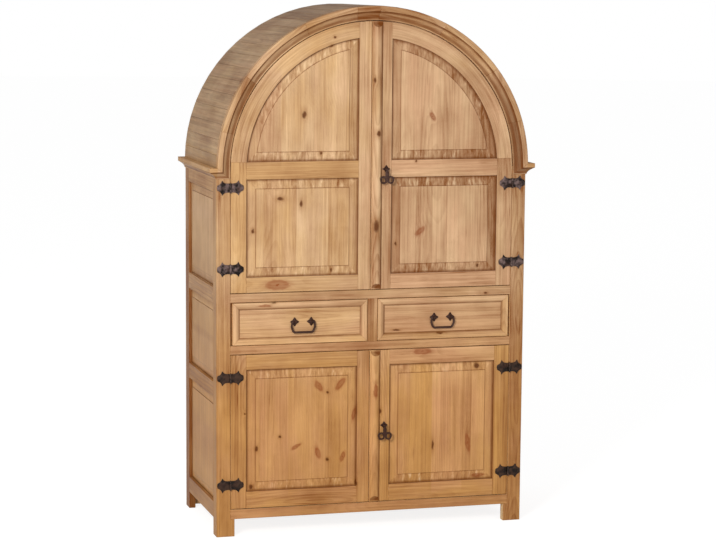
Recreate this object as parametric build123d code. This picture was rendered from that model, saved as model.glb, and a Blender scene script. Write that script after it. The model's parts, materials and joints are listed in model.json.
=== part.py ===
from build123d import *
import math
import os

os.makedirs("parts", exist_ok=True)

# All lengths in millimetres. X runs across the front, Y from front (0) to back, Z up.
# ---- carcass ----
WIDTH, DEPTH = 1219.0, 565.0
POST_W, POST_FACE_T = 70.0, 30.0  # front posts: a face board with a narrower one behind it
POST_D = 57.0                     # both boards together, as seen from the side
SIDE_T = 25.0                     # back posts and side rails share this thickness
BACK_POST_D = 60.0
REBATE_W, REBATE_D = 16.5, 22.0   # front rebate the doors close into
FOOT_Z = 67.0                     # lower edge of the bottom front rail
BOTTOM_RAIL_H, MIDDLE_RAIL_H, TOP_RAIL_H = 36.7, 31.7, 33.0
LOWER_DOOR_H, DRAWER_H = 590.6, 159.3
UPPER_STRAIGHT = 460.7            # upright part of the upper doors, below the springing
GAP = 3.0                         # open joint round doors and drawers
DIVIDER_HALF = 19.0
BOARD_T = 18.0
LOWER_SHELF_UP, UPPER_SHELF_UP, TOP_SHELF_DROP = 293.3, 246.7, 1.0
SIDE_RAIL_HEIGHTS = (62.0, 60.0, 62.0, 81.0)
SIDE_RAIL_DROPS = (1.0, 166.3, 7.3)   # below the foot rail, lower door top, top front rail
BACK_RAIL_H, BACK_RAIL_T = 60.0, 22.0
PLANK_T, PLANKS = 12.0, 12
PLANK_BOTTOM = 10.0
PLANK_REBATE = 10.0               # rebate in the back posts that takes the outer planks
PLANK_EASE = 1.0
BACK_RECESS = 2.0                 # planks stop short of the rear face of the posts
CLEAT_W, CLEAT_H = 18.5, 20.0
STOP_REACH, STOP_D, STOP_H = 50.0, 18.0, 15.0
FIT = 0.3                         # easy fit in grooves

# ---- frame and panel work ----
GROOVE = 8.0
TONGUE_T = 5.0
DOOR_TONGUE = 9.5                 # depth of the tongue face below the door face
DOOR_BEVEL = 37.0
DOOR_BEVEL_TOP, DOOR_FIELD = 4.5, 2.5
SIDE_TONGUE = 13.0
SIDE_BEVEL = 33.0
SIDE_BEVEL_TOP, SIDE_FIELD = 9.0, 7.0

# ---- arch ----
TRIM_OVER = 1.5                   # trim stands this far outside the posts
TRIM_CLEAR = 4.0                  # between the curved door edge and the trim
TRIM_PROUD = 24.0
TRIM_JOINTS = [0, 17, 38, 63, 88.5, 97, 117, 145, 166, 180]
BAND_SHARE = 0.40                 # flat band of the moulding, as a share of its width
HOLLOW_END = 0.91
HOLLOW_TOP, HOLLOW_LOW = 0.96, 0.14
HOLLOW_DIP = 0.17                 # how far the hollow sinks below a straight slope
HOLLOW_CHORDS = 6
RIB_CLEAR = 4.5                   # between the curved door edge and the rebate of the rib
STAVE_OVER, STAVE_T = 2.0, 14.0   # staves stand this far outside the posts
STAVES = 33
STAVE_CHAMFER = 1.2
BACK_RIB_BAND, BACK_RIB_LIP = 22.0, 23.0
FELLOES = 6                       # sawn pieces in each rib
CORNICE_UP, CORNICE_H, CORNICE_SIDE = 12.0, 42.0, 30.0

# ---- doors ----
DOOR_SINK = 0.5                   # doors stand this much proud of their rebate floor
DOOR_CLEAR = 2.0                  # between a door and the wall of the rebate
STILE_W = 60.0
MEET_X = -10.0                    # the doors meet a little left of the middle
MEETING_STILE_LEFT, MEETING_STILE_RIGHT = 47.5, 78.5
LOWER_RAIL_H, LOWER_TOP_RAIL_H = 64.3, 57.3
UPPER_RAIL_H = 57.7
LOCK_RAIL_BELOW, LOCK_RAIL_ABOVE = 34.0, 31.0
TENON_FROM, PAST_TOP = 70, 100
ASTRAGAL_W, ASTRAGAL_H = 41.5, 12.0
ASTRAGAL_END, ASTRAGAL_LIP = 22.0, 2.5

# ---- hinges ----
IRON_SIDES = 10                   # forged round work is left with this many flats
PIN_R = 2.05
PIN_HEAD_R, PIN_HEAD_H = 3.4, 2.0
BARREL_R, BARREL_LIFT = 4.5, 1.5  # knuckles stand this far off the wood
BARREL_HALF = 17.0
KNUCKLE_HALF = 6.0
KNUCKLE_GAP = 0.4
FIXED_FIT, RUNNING_FIT = 0.02, 0.07
LEAF_T = 2.5
LEAF_START = 1.0
UPPER_HINGE_UP, UPPER_HINGE_DOWN = 90.7, 64.0
LOWER_HINGE_UP, LOWER_HINGE_DOWN = 92.3, 86.3
LEAF_SHAPE = [(LEAF_START, 17.0), (12.0, 17.0), (20.0, 18.0), (26.0, 21.5), (31.5, 28.5),
              (34.5, 21.0), (39.0, 15.0), (45.0, 11.5), (50.0, 9.0), (51.5, 0.0)]

# ---- drawers ----
DRAWER_SIDE_GAP = 10.0
DRAWER_FACE = 6.0                 # drawer face set back behind the rails
MOULD_W, MOULD_FLAT = 27.0, 13.0
MOULD_RISE, MOULD_LIP = 10.0, 2.0
BOX_INSET, BOX_CLEAR = 8.0, 9.5
BOX_SHORT = 29.0                  # drawer sides end this far before the back rail
BOX_T = 12.0
BOX_DROP, BOX_BACK_DROP = 14.3, 24.3
BOX_BOTTOM_UP, BOX_BOTTOM_T, BOX_HOUSING = 9.0, 6.0, 6.0
GUIDE_T = 18.0
GUIDE_H = 20.0
RUN_GAP = 1.0

# ---- bail pulls on the drawers ----
BAIL_OFF_RIGHT, BAIL_OFF_LEFT = -3.5, -10.8   # from the middle of the drawer front, outwards
BAIL_OFF_Z = 2.35
BAIL_Y = -3.0
BAIL_R, BAIL_END_R = 4.2, 2.2
BAIL_PAST = 2.0                   # thin ends stand out of the eyes by this much
ROSETTE_X = 32.4
ROSETTE_T = 2.5
ROSETTE_R, ROSETTE_WAIST = 17.5, 10.5
POST_R, POST_TIP = 5.5, 0.55      # eye of the rosette and the share left at its tip
BAIL_SHAPE = [(6.0, 0.0), (11.0, 0.0), (13.3, -19.0), (5.5, -39.5)]
BAIL_BENDS = [5.0, 12.0, 10.0]    # radius at each corner of that shape, from the eye down
PETAL_TURN, PETAL_SHARE = 0.20, 0.86

# ---- drop pulls on the right-hand doors ----
DROP_INSET = 21.0                 # from the inner edge of the meeting stile
UPPER_DROP_UP, LOWER_DROP_UP = 458.2, 297.8
DROP_STAND = 1.0                  # the drop hangs this far in front of the cover strip
DROP_PIN_R = 2.05
DROP_PLATE_R, DROP_PLATE_WAIST = 15.0, 9.0
LUG_IN, LUG_OUT, LUG_R = 3.3, 6.3, 4.0
DROP_PIN_PAST = 1.0
DROP_T = 4.0
DROP_NECK = [(2.6, -2.0), (2.9, -5.0), (5.6, -8.5), (7.0, -14.0), (6.4, -22.0), (8.0, -30.0), (0.0, -46.0)]
LOOP_X, LOOP_DOWN, LOOP_TILT = 14.3, 40.5, 12
LOOP_W, LOOP_H, LOOP_BAR = 12.8, 15.0, 6.4
LOOP_SIDES, LOOP_SQUARE = 16, 0.72   # powers under 1 fill out the corners of the loops

# ---- sizes that follow from the ones above ----
HALF = WIDTH / 2
Y_MID = (DEPTH - TRIM_PROUD) / 2  # moves the origin under the middle of the whole cabinet
POST_IN = HALF - POST_W
REBATE_X = POST_IN + REBATE_W
SIDE_IN = HALF - SIDE_T
BACK_POST_Y = DEPTH - BACK_POST_D
PLANK_Y = DEPTH - BACK_RECESS - PLANK_T
BACK_RAIL_Y = PLANK_Y - BACK_RAIL_T
BOTTOM_RAIL = (FOOT_Z, FOOT_Z + BOTTOM_RAIL_H)
LOWER_Z = (BOTTOM_RAIL[1] + GAP, BOTTOM_RAIL[1] + GAP + LOWER_DOOR_H)
MIDDLE_RAIL = (LOWER_Z[1] + GAP, LOWER_Z[1] + GAP + MIDDLE_RAIL_H)
DRAWER_Z = (MIDDLE_RAIL[1] + GAP, MIDDLE_RAIL[1] + GAP + DRAWER_H)
TOP_RAIL = (DRAWER_Z[1] + GAP, DRAWER_Z[1] + GAP + TOP_RAIL_H)
UPPER_Z = TOP_RAIL[1] + GAP
SPRING_Z = UPPER_Z + UPPER_STRAIGHT   # top of the posts, where the arch springs
RAILS_Z = [BOTTOM_RAIL, MIDDLE_RAIL, TOP_RAIL]
SIDE_STARTS = [FOOT_Z - SIDE_RAIL_DROPS[0], LOWER_Z[1] - SIDE_RAIL_DROPS[1],
               TOP_RAIL[0] - SIDE_RAIL_DROPS[2], SPRING_Z - SIDE_RAIL_HEIGHTS[3]]
SIDE_RAILS_Z = [(z, z + height) for z, height in zip(SIDE_STARTS, SIDE_RAIL_HEIGHTS)]
BACK_RAILS_Z = [(PLANK_BOTTOM, SIDE_RAILS_Z[0][1]), (MIDDLE_RAIL[0], MIDDLE_RAIL[0] + BACK_RAIL_H),
                (SPRING_Z - BACK_RAIL_H, SPRING_Z)]
SHELVES_Z = [LOWER_Z[0] + LOWER_SHELF_UP, UPPER_Z + UPPER_SHELF_UP, SPRING_Z - TOP_SHELF_DROP]

DOOR_T = REBATE_D - DOOR_SINK
DOOR_EDGE = REBATE_X - DOOR_CLEAR
DOOR_OPEN = DOOR_EDGE - STILE_W
MEET_RIGHT, MEET_LEFT = MEET_X + GAP / 2, GAP / 2 - MEET_X
OPEN_RIGHT, OPEN_LEFT = MEET_RIGHT + MEETING_STILE_RIGHT, MEET_LEFT + MEETING_STILE_LEFT
LOWER_PANEL_Z = (LOWER_Z[0] + LOWER_RAIL_H, LOWER_Z[1] - LOWER_TOP_RAIL_H)
UPPER_PANEL_Z = (UPPER_Z + UPPER_RAIL_H, SPRING_Z - LOCK_RAIL_BELOW)
ARCH_PANEL_Z = SPRING_Z + LOCK_RAIL_ABOVE

TRIM_OUT, TRIM_IN = HALF + TRIM_OVER, DOOR_EDGE + TRIM_CLEAR
STAVE_OUT = HALF + STAVE_OVER
STAVE_CORNER = STAVE_OUT / math.cos(math.pi / STAVES / 2)
RIB_IN, RIB_REBATE, RIB_OUT = POST_IN, DOOR_EDGE + RIB_CLEAR, STAVE_OUT - STAVE_T
BACK_RIB_BOARDS = RIB_OUT - BACK_RIB_BAND
BACK_RIB_IN = BACK_RIB_BOARDS - BACK_RIB_LIP
CORNICE_TOP = SPRING_Z + CORNICE_UP
CORNICE_LOW = CORNICE_TOP - CORNICE_H

HINGE_X, PIN_Y = REBATE_X, -BARREL_R - BARREL_LIFT
RELIEF_R = BARREL_R + KNUCKLE_GAP
HINGES_UPPER = [UPPER_Z + UPPER_HINGE_UP, SPRING_Z - UPPER_HINGE_DOWN]
HINGES_LOWER = [LOWER_Z[0] + LOWER_HINGE_UP, LOWER_Z[1] - LOWER_HINGE_DOWN]

DRAWER_X = (DIVIDER_HALF + GAP, REBATE_X - DRAWER_SIDE_GAP)
DRAWER_BACK = DOOR_T
MOULD_Y, MOULD_LIP_Y = DRAWER_FACE - MOULD_RISE, DRAWER_FACE - MOULD_LIP
BOX_X = (DRAWER_X[0] + BOX_INSET, POST_IN - BOX_CLEAR)
BOX_END = BACK_RAIL_Y - BOX_SHORT
BOX_TOP, BOX_BACK_TOP = DRAWER_Z[1] - BOX_DROP, DRAWER_Z[1] - BOX_BACK_DROP
BOX_BOTTOM_Z = DRAWER_Z[0] + BOX_BOTTOM_UP
BAIL_RIGHT = (DRAWER_X[0] + DRAWER_X[1]) / 2 + BAIL_OFF_RIGHT
BAIL_LEFT = -(DRAWER_X[0] + DRAWER_X[1]) / 2 - BAIL_OFF_LEFT
BAIL_Z = (DRAWER_Z[0] + DRAWER_Z[1]) / 2 + BAIL_OFF_Z
BAIL_PATH = [(ROSETTE_X + u, v) for u, v in BAIL_SHAPE]
DROP_X, DROP_Y = OPEN_RIGHT - DROP_INSET, -ASTRAGAL_H - DROP_STAND - DROP_T / 2
DROP_ZS = {"upper": UPPER_Z + UPPER_DROP_UP, "lower": LOWER_Z[0] + LOWER_DROP_UP}

SIDE_PLANE = Plane(origin=(HALF, 0, 0), x_dir=(0, 1, 0), z_dir=(1, 0, 0))
ARCH_AXIS = Axis((0, 0, SPRING_Z), (0, -1, 0))
BIG = 3 * WIDTH


# ---------- general helpers ----------

def block(x0, x1, y0, y1, z0, z1):
    """Box between two corners."""
    return Pos((x0 + x1) / 2, (y0 + y1) / 2, (z0 + z1) / 2) * Box(x1 - x0, y1 - y0, z1 - z0)


def front_plane(x, y, z):
    """Drawing plane parallel to the front of the cabinet."""
    return Plane(origin=(x, y, z), x_dir=(1, 0, 0), z_dir=(0, -1, 0))


def slab(points, y0, y1):
    """Outline of (x, z) points given thickness from y0 to y1."""
    face = front_plane(0, y1, 0) * Polygon(*points, align=None)
    return extrude(face, amount=y1 - y0, dir=(0, -1, 0))


def bar(points, z0, z1):
    """Outline of (x, y) points raised from z0 to z1."""
    return extrude(Pos(0, 0, z0) * Polygon(*points, align=None), amount=z1 - z0, dir=(0, 0, 1))


def rod_z(radius, x, y, z0, z1):
    """Round bar along Z."""
    return Pos(x, y, (z0 + z1) / 2) * Cylinder(radius, z1 - z0)


def forged_x(radius, x0, x1, y, z, bore=False):
    """Round iron bar along X with flats; as a bore its flats clear the radius."""
    ring = RegularPolygon(radius, IRON_SIDES, major_radius=not bore)
    across = Plane(origin=(x0, y, z), x_dir=(0, 1, 0), z_dir=(1, 0, 0))
    return extrude(across * ring, amount=x1 - x0, dir=(1, 0, 0))


def forged_z(radius, x, y, z0, z1, bore=False):
    """Same along Z."""
    ring = RegularPolygon(radius, IRON_SIDES, major_radius=not bore)
    return extrude(Pos(x, y, z0) * ring, amount=z1 - z0, dir=(0, 0, 1))


def disc(radius, y0, y1):
    """Round slab about the arch centre."""
    return Pos(0, (y0 + y1) / 2, SPRING_Z) * Rot(90, 0, 0) * Cylinder(radius, y1 - y0)


def turned(points, a0, a1):
    """Profile of (radius, y) points swept round the arch centre, angles from the right."""
    a = math.radians(a0)
    plane = Plane(origin=(0, 0, SPRING_Z), x_dir=(math.cos(a), 0, math.sin(a)),
                  z_dir=(-math.sin(a), 0, math.cos(a)))
    return revolve(plane * Polygon(*points, align=None), axis=ARCH_AXIS, revolution_arc=a1 - a0)


def mirrored(pieces):
    """Left-hand copies of right-hand pieces."""
    return [mirror(piece, about=Plane.YZ) for piece in pieces]


def save(name, pieces):
    """One file for one named piece or one group of separate pieces."""
    solids = [solid for piece in pieces for solid in piece.solids()]
    whole = solids[0] if len(solids) == 1 else Compound(solids)
    export_step(Pos(0, -Y_MID, 0) * whole, "parts/" + name + ".step")


# ---------- mouldings ----------

def moulding_profile():
    """Flat band, small step and hollow, as (distance from outer edge, projection) from 0 to 1."""
    reach, fall = HOLLOW_END - BAND_SHARE, HOLLOW_TOP - HOLLOW_LOW
    hollow = []
    for i in range(HOLLOW_CHORDS + 1):
        t = i / HOLLOW_CHORDS
        sunk = t + HOLLOW_DIP * math.sin(math.pi * t)
        hollow.append((BAND_SHARE + reach * t, HOLLOW_TOP - fall * sunk))
    return [(0.0, 0.0), (0.0, 1.0), (BAND_SHARE, 1.0)] + hollow + [(1.0, HOLLOW_LOW), (1.0, 0.0)]


def trim_points():
    """Profile of the arch trim as (radius, y)."""
    width = TRIM_OUT - TRIM_IN
    return [(TRIM_OUT - u * width, -p * TRIM_PROUD) for u, p in moulding_profile()]


def mitre_cutter(keep_above):
    """Wedge that cuts the corner between the trim foot and the cornice return."""
    dx, dz = TRIM_OUT - TRIM_IN, CORNICE_TOP - CORNICE_LOW
    low = (TRIM_IN - dx, CORNICE_LOW - dz)
    high = (TRIM_OUT + dx, CORNICE_TOP + dz)
    if keep_above:
        return slab([low, high, (high[0], low[1] - dz), (low[0], low[1] - dz)], -BIG, BIG)
    return slab([low, high, (low[0], high[1])], -BIG, BIG)


def arch_trim():
    """Segments of the arch moulding, the end ones running down to the mitre."""
    pieces = []
    for a0, a1 in zip(TRIM_JOINTS, TRIM_JOINTS[1:]):
        piece = turned(trim_points(), a0, a1)
        if a0 == 0:
            piece = piece + bar(trim_points(), CORNICE_LOW, SPRING_Z)
            piece = piece - mitre_cutter(True)
        if a1 == 180:
            foot = mirror(bar(trim_points(), CORNICE_LOW, SPRING_Z), about=Plane.YZ)
            piece = piece + foot - mirror(mitre_cutter(True), about=Plane.YZ)
        pieces.append(piece)
    return pieces


def cornice_right():
    """Side cornice and its short front return on the right, mitred at the corner."""
    height = CORNICE_TOP - CORNICE_LOW
    levels = [(CORNICE_TOP - u * height, p) for u, p in moulding_profile()]
    side_outline = [(HALF + p * CORNICE_SIDE, z) for z, p in levels]
    hood_room = disc(STAVE_CORNER + FIT, 0, DEPTH) & block(0, BIG, 0, DEPTH, SPRING_Z, BIG)
    side = slab(side_outline, -TRIM_PROUD, DEPTH) - hood_room
    corner = [(HALF, 0), (HALF + CORNICE_SIDE, -TRIM_PROUD), (HALF, -TRIM_PROUD)]
    side = side - bar(corner, CORNICE_LOW, CORNICE_TOP)
    side = side - (mitre_cutter(False) & block(0, BIG, -TRIM_PROUD, 0, 0, BIG))
    across = Plane(origin=(TRIM_IN, 0, 0), x_dir=(0, 1, 0), z_dir=(1, 0, 0))
    front_outline = Polygon(*[(-p * TRIM_PROUD, z) for z, p in levels], align=None)
    front = extrude(across * front_outline, HALF + CORNICE_SIDE - TRIM_IN, (1, 0, 0))
    beyond = [(HALF, 0), (HALF + CORNICE_SIDE, -TRIM_PROUD), (HALF + CORNICE_SIDE, 0)]
    front = front - bar(beyond, CORNICE_LOW, CORNICE_TOP) - mitre_cutter(False)
    return [side, front]


# ---------- frame and panel work ----------

def rail(x0, x1, z0, z1, low_groove, high_groove):
    """Door rail with stub tenons that fill the stile grooves."""
    front, back = DOOR_TONGUE, DOOR_TONGUE + TONGUE_T
    body = block(x0, x1, 0, DOOR_T, z0, z1)
    tenon_z0 = z0 + GROOVE if low_groove else z0
    tenon_z1 = z1 - GROOVE if high_groove else z1
    reach = GROOVE - FIT
    body = body + block(x0 - reach, x1 + reach, front, back, tenon_z0, tenon_z1)
    if low_groove:
        body = body - block(x0 - GROOVE, x1 + GROOVE, front, back, z0, z0 + GROOVE)
    if high_groove:
        body = body - block(x0 - GROOVE, x1 + GROOVE, front, back, z1 - GROOVE, z1)
    return body


def rectangle(u0, u1, v0, v1):
    """Function giving the outline of an opening, moved in by any amount."""
    def outline(inset):
        a, b = u0 + inset, u1 - inset
        c, d = v0 + inset, v1 - inset
        return Polygon((a, c), (b, c), (b, d), (a, d), align=None)
    return outline


def arch_opening(inner):
    """Same for the arched opening: level below, upright on the meeting side, arc outside."""
    def outline(inset):
        x0, z0 = inner + inset, ARCH_PANEL_Z + inset
        radius = DOOR_OPEN - inset
        x1 = math.sqrt(radius ** 2 - (z0 - SPRING_Z) ** 2)
        z1 = SPRING_Z + math.sqrt(radius ** 2 - x0 ** 2)
        mid = (math.atan2(z0 - SPRING_Z, x1) + math.atan2(z1 - SPRING_Z, x0)) / 2
        top = (radius * math.cos(mid), SPRING_Z + radius * math.sin(mid))
        edges = [Line((x0, z0), (x1, z0)), ThreePointArc((x1, z0), top, (x0, z1)),
                 Line((x0, z1), (x0, z0))]
        return make_face(edges)
    return outline


def raised_panel(outline, bevel, tongue, bevel_top, field):
    """Panel with a tongue all round, a wide bevel and a raised flat field."""
    reach = GROOVE - FIT
    edge = extrude(Pos(0, 0, -tongue - TONGUE_T) * outline(-reach), TONGUE_T, (0, 0, 1))
    slope = loft([Pos(0, 0, -tongue) * outline(0), Pos(0, 0, -bevel_top) * outline(bevel)],
                 ruled=True)
    face = extrude(Pos(0, 0, -bevel_top) * outline(bevel), bevel_top - field, (0, 0, 1))
    return edge + slope + face


def door_panel(outline):
    """Raised panel set in a door."""
    panel = raised_panel(outline, DOOR_BEVEL, DOOR_TONGUE, DOOR_BEVEL_TOP, DOOR_FIELD)
    return front_plane(0, 0, 0) * panel


def stile_groove(x0, x1, z0, z1):
    """Groove down the inner edge of a stile."""
    return block(x0, x1, DOOR_TONGUE, DOOR_TONGUE + TONGUE_T, z0, z1)


def lower_door(meet, inner):
    """Stiles, rails and panel of a lower door, hinged on the right."""
    z0, z1 = LOWER_Z
    p0, p1 = LOWER_PANEL_Z
    outer = block(DOOR_OPEN, DOOR_EDGE, 0, DOOR_T, z0, z1)
    outer = outer - stile_groove(DOOR_OPEN, DOOR_OPEN + GROOVE, z0, z1)
    middle = block(meet, inner, 0, DOOR_T, z0, z1) - stile_groove(inner - GROOVE, inner, z0, z1)
    rails = [rail(inner, DOOR_OPEN, z0, p0, False, True), rail(inner, DOOR_OPEN, p1, z1, True, False)]
    panel = door_panel(rectangle(inner, DOOR_OPEN, p0, p1))
    return {"stiles": [outer, middle], "rails": rails, "panel": [panel]}


def arch_stile(inner):
    """Curved stile of the upper door, grooved inside, tenoned to the meeting stile."""
    front, back = DOOR_TONGUE, DOOR_TONGUE + TONGUE_T
    section = [(DOOR_OPEN, 0), (DOOR_EDGE, 0), (DOOR_EDGE, DOOR_T), (DOOR_OPEN, DOOR_T),
               (DOOR_OPEN, back), (DOOR_OPEN + GROOVE, back), (DOOR_OPEN + GROOVE, front),
               (DOOR_OPEN, front)]
    tenon = [(DOOR_OPEN + GROOVE, front), (DOOR_EDGE, front), (DOOR_EDGE, back),
             (DOOR_OPEN + GROOVE, back)]
    below = block(0, BIG, -BIG, BIG, 0, ARCH_PANEL_Z)
    beside = block(-BIG, inner, -BIG, BIG, 0, BIG)
    deep = block(-BIG, inner - GROOVE + FIT, -BIG, BIG, 0, BIG)
    stile = turned(section, 0, PAST_TOP) - below - beside
    return [stile + (turned(tenon, TENON_FROM, PAST_TOP) - deep)]


def upper_door(meet, inner):
    """Stiles, curved stile, rails and panels of an upper door, hinged on the right."""
    p0, p1 = UPPER_PANEL_Z
    crown = disc(DOOR_EDGE, 0, DOOR_T)
    outer = block(DOOR_OPEN, DOOR_EDGE, 0, DOOR_T, UPPER_Z, SPRING_Z)
    outer = outer + (block(DOOR_OPEN, DOOR_EDGE, 0, DOOR_T, SPRING_Z, ARCH_PANEL_Z) & crown)
    outer = outer - stile_groove(DOOR_OPEN, DOOR_OPEN + GROOVE, UPPER_Z, ARCH_PANEL_Z)
    middle = block(meet, inner, 0, DOOR_T, UPPER_Z, SPRING_Z)
    middle = middle + (block(meet, inner, 0, DOOR_T, SPRING_Z, BIG) & crown)
    middle = middle - stile_groove(inner - GROOVE, inner, UPPER_Z, BIG)
    rails = [rail(inner, DOOR_OPEN, UPPER_Z, p0, False, True),
             rail(inner, DOOR_OPEN, p1, ARCH_PANEL_Z, True, True)]
    panels = [door_panel(rectangle(inner, DOOR_OPEN, p0, p1)), door_panel(arch_opening(inner))]
    return {"stiles": [outer, middle], "arch": arch_stile(inner), "rails": rails, "panels": panels}


def astragal(z0, z1, crown):
    """Rounded cover strip on the meeting edge, its ends scooped away."""
    x0 = MEET_RIGHT
    x1 = x0 + ASTRAGAL_W
    chord = ASTRAGAL_W / 2
    radius = (chord ** 2 + ASTRAGAL_H ** 2) / (2 * ASTRAGAL_H)
    round_bar = rod_z(radius, (x0 + x1) / 2, radius - ASTRAGAL_H, z0, z1)
    strip = round_bar & block(x0, x1, -ASTRAGAL_H, 0, z0, z1)
    if crown:
        strip = strip & (block(x0, x1, -BIG, BIG, z0, SPRING_Z) + disc(DOOR_EDGE, -BIG, BIG))
    rise = ASTRAGAL_H - ASTRAGAL_LIP
    scoop = (ASTRAGAL_END ** 2 + rise ** 2) / (2 * rise)
    for end in (z0, z1):
        place = Pos((x0 + x1) / 2, -ASTRAGAL_LIP - scoop, end)
        strip = strip - place * Rot(0, 90, 0) * Cylinder(scoop, 2 * ASTRAGAL_W)
    return strip


# ---------- hinges ----------

def leaf(way, x):
    """Flat shaped plate of a hinge leaf, pointing to +X or -X from the pin."""
    upper = [(x + way * u, v) for u, v in LEAF_SHAPE]
    lower = [(x + way * u, -v) for u, v in reversed(LEAF_SHAPE[:-1])]
    return slab(upper + lower, -LEAF_T, 0)


def frame_leaf(z):
    """Leaf on the post: plate with the two outer knuckles."""
    inner = KNUCKLE_HALF + KNUCKLE_GAP / 2
    body = leaf(1, HINGE_X) - forged_z(RELIEF_R, HINGE_X, PIN_Y, -inner, inner, bore=True)
    for z0, z1 in ((-BARREL_HALF, -inner), (inner, BARREL_HALF)):
        body = body + forged_z(BARREL_R, HINGE_X, PIN_Y, z0, z1)
    bore = forged_z(PIN_R + FIXED_FIT, HINGE_X, PIN_Y, -BARREL_HALF, BARREL_HALF, bore=True)
    return Pos(0, 0, z) * (body - bore)


def door_leaf(z):
    """Leaf on the door: plate with the middle knuckle."""
    inner = KNUCKLE_HALF - KNUCKLE_GAP / 2
    past = BARREL_HALF + KNUCKLE_GAP
    body = leaf(-1, HINGE_X)
    for z0, z1 in ((-past, -inner), (inner, past)):
        body = body - forged_z(RELIEF_R, HINGE_X, PIN_Y, z0, z1, bore=True)
    body = body + forged_z(BARREL_R, HINGE_X, PIN_Y, -inner, inner)
    bore = forged_z(PIN_R + RUNNING_FIT, HINGE_X, PIN_Y, -BARREL_HALF, BARREL_HALF, bore=True)
    return Pos(0, 0, z) * (body - bore)


def hinge_pin(z):
    """Pin with a small head above and below the knuckles."""
    body = forged_z(PIN_R, HINGE_X, PIN_Y, z - BARREL_HALF, z + BARREL_HALF)
    for end, way in ((z - BARREL_HALF, -1), (z + BARREL_HALF, 1)):
        low, high = sorted((end, end + way * PIN_HEAD_H))
        body = body + forged_z(PIN_HEAD_R, HINGE_X, PIN_Y, low, high)
    return body


# ---------- drawers and pulls ----------

def picture_frame():
    """Four mitred moulding lengths planted on a drawer front."""
    x0, x1 = DRAWER_X
    z0, z1 = DRAWER_Z

    def ring(inset):
        return [(x0 + inset, z0 + inset), (x1 - inset, z0 + inset),
                (x1 - inset, z1 - inset), (x0 + inset, z1 - inset)]
    outer, inner = ring(0), ring(MOULD_W)
    frame = slab(outer, MOULD_Y, DRAWER_FACE)
    frame = frame - slab(inner, MOULD_LIP_Y, DRAWER_FACE)
    narrow = front_plane(0, MOULD_LIP_Y, 0) * Polygon(*inner, align=None)
    wide = front_plane(0, MOULD_Y, 0) * Polygon(*ring(MOULD_FLAT), align=None)
    frame = frame - loft([narrow, wide], ruled=True)
    pieces = []
    for i in range(4):
        j = (i + 1) % 4
        pieces.append(frame & slab([outer[i], outer[j], inner[j], inner[i]], MOULD_Y, DRAWER_FACE))
    return pieces


def drawer_box():
    """Sides, back and housed bottom of a drawer."""
    x0, x1 = BOX_X
    floor = RAILS_Z[1][1] + FIT
    bottom = block(x0 + BOX_T - BOX_HOUSING, x1 - BOX_T + BOX_HOUSING, DRAWER_BACK,
                   BOX_END - BOX_T, BOX_BOTTOM_Z, BOX_BOTTOM_Z + BOX_BOTTOM_T)
    left = block(x0, x0 + BOX_T, DRAWER_BACK, BOX_END, floor, BOX_TOP) - bottom
    right = block(x1 - BOX_T, x1, DRAWER_BACK, BOX_END, floor, BOX_TOP) - bottom
    back = block(x0 + BOX_T, x1 - BOX_T, BOX_END - BOX_T, BOX_END, BOX_BOTTOM_Z, BOX_BACK_TOP)
    return [left, right, back, bottom]


def four_petals(size, waist):
    """Plate outline: four pointed petals on a small round centre."""
    quarter = math.pi / 2
    shoulder = size * PETAL_SHARE
    points = []
    for i in range(4):
        a = quarter * i
        for turn, radius in ((0, size), (PETAL_TURN, shoulder), (quarter / 2, waist),
                             (quarter - PETAL_TURN, shoulder)):
            points.append((radius * math.cos(a + turn), radius * math.sin(a + turn)))
    return points


def rosette(x):
    """Petalled plate with the eye that holds one end of the bail."""
    outline = [(x + u, BAIL_Z + v) for u, v in four_petals(ROSETTE_R, ROSETTE_WAIST)]
    face = DRAWER_FACE - ROSETTE_T
    plate = slab(outline, face, DRAWER_FACE)
    wide, tip = RegularPolygon(POST_R, IRON_SIDES), RegularPolygon(POST_R * POST_TIP, IRON_SIDES)
    neck = extrude(front_plane(x, face, BAIL_Z) * wide, amount=face - BAIL_Y, dir=(0, -1, 0))
    end = loft([front_plane(x, BAIL_Y, BAIL_Z) * wide, front_plane(x, BAIL_Y - POST_R, BAIL_Z) * tip],
               ruled=True)
    bore = forged_x(BAIL_END_R + RUNNING_FIT, x - ROSETTE_X / 2, x + ROSETTE_X / 2, BAIL_Y, BAIL_Z,
                    bore=True)
    return plate + neck + end - bore


def bail(x):
    """Forged bar bent to a flat-bottomed bow, thin ends turned in through the eyes."""
    left = [(x - u, BAIL_Y, BAIL_Z + v) for u, v in BAIL_PATH]
    right = [(x + u, BAIL_Y, BAIL_Z + v) for u, v in reversed(BAIL_PATH)]
    path = FilletPolyline(*left, *right, radius=BAIL_BENDS + BAIL_BENDS[::-1])
    start = Plane(origin=path @ 0, z_dir=path % 0)
    bow = sweep(start * RegularPolygon(BAIL_R, IRON_SIDES), path=path)
    reach = ROSETTE_X - POST_R - BAIL_PAST
    for way in (-1, 1):
        a, b = sorted((x + way * BAIL_PATH[0][0], x + way * reach))
        bow = bow + forged_x(BAIL_END_R, a, b, BAIL_Y, BAIL_Z)
    return bow


def drop_plate(z):
    """Petalled plate with the two lugs that carry a drop pull."""
    outline = [(DROP_X + u, z + v) for u, v in four_petals(DROP_PLATE_R, DROP_PLATE_WAIST)]
    plate = slab(outline, -LEAF_T, 0)
    for way in (-1, 1):
        a, b = sorted((DROP_X + way * LUG_IN, DROP_X + way * LUG_OUT))
        lug = block(a, b, DROP_Y, -LEAF_T, z - LUG_R, z + LUG_R)
        plate = plate + lug + forged_x(LUG_R, a, b, DROP_Y, z)
    bore = forged_x(DROP_PIN_R + RUNNING_FIT, DROP_X - LUG_OUT, DROP_X + LUG_OUT, DROP_Y, z, bore=True)
    return plate - bore


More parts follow.
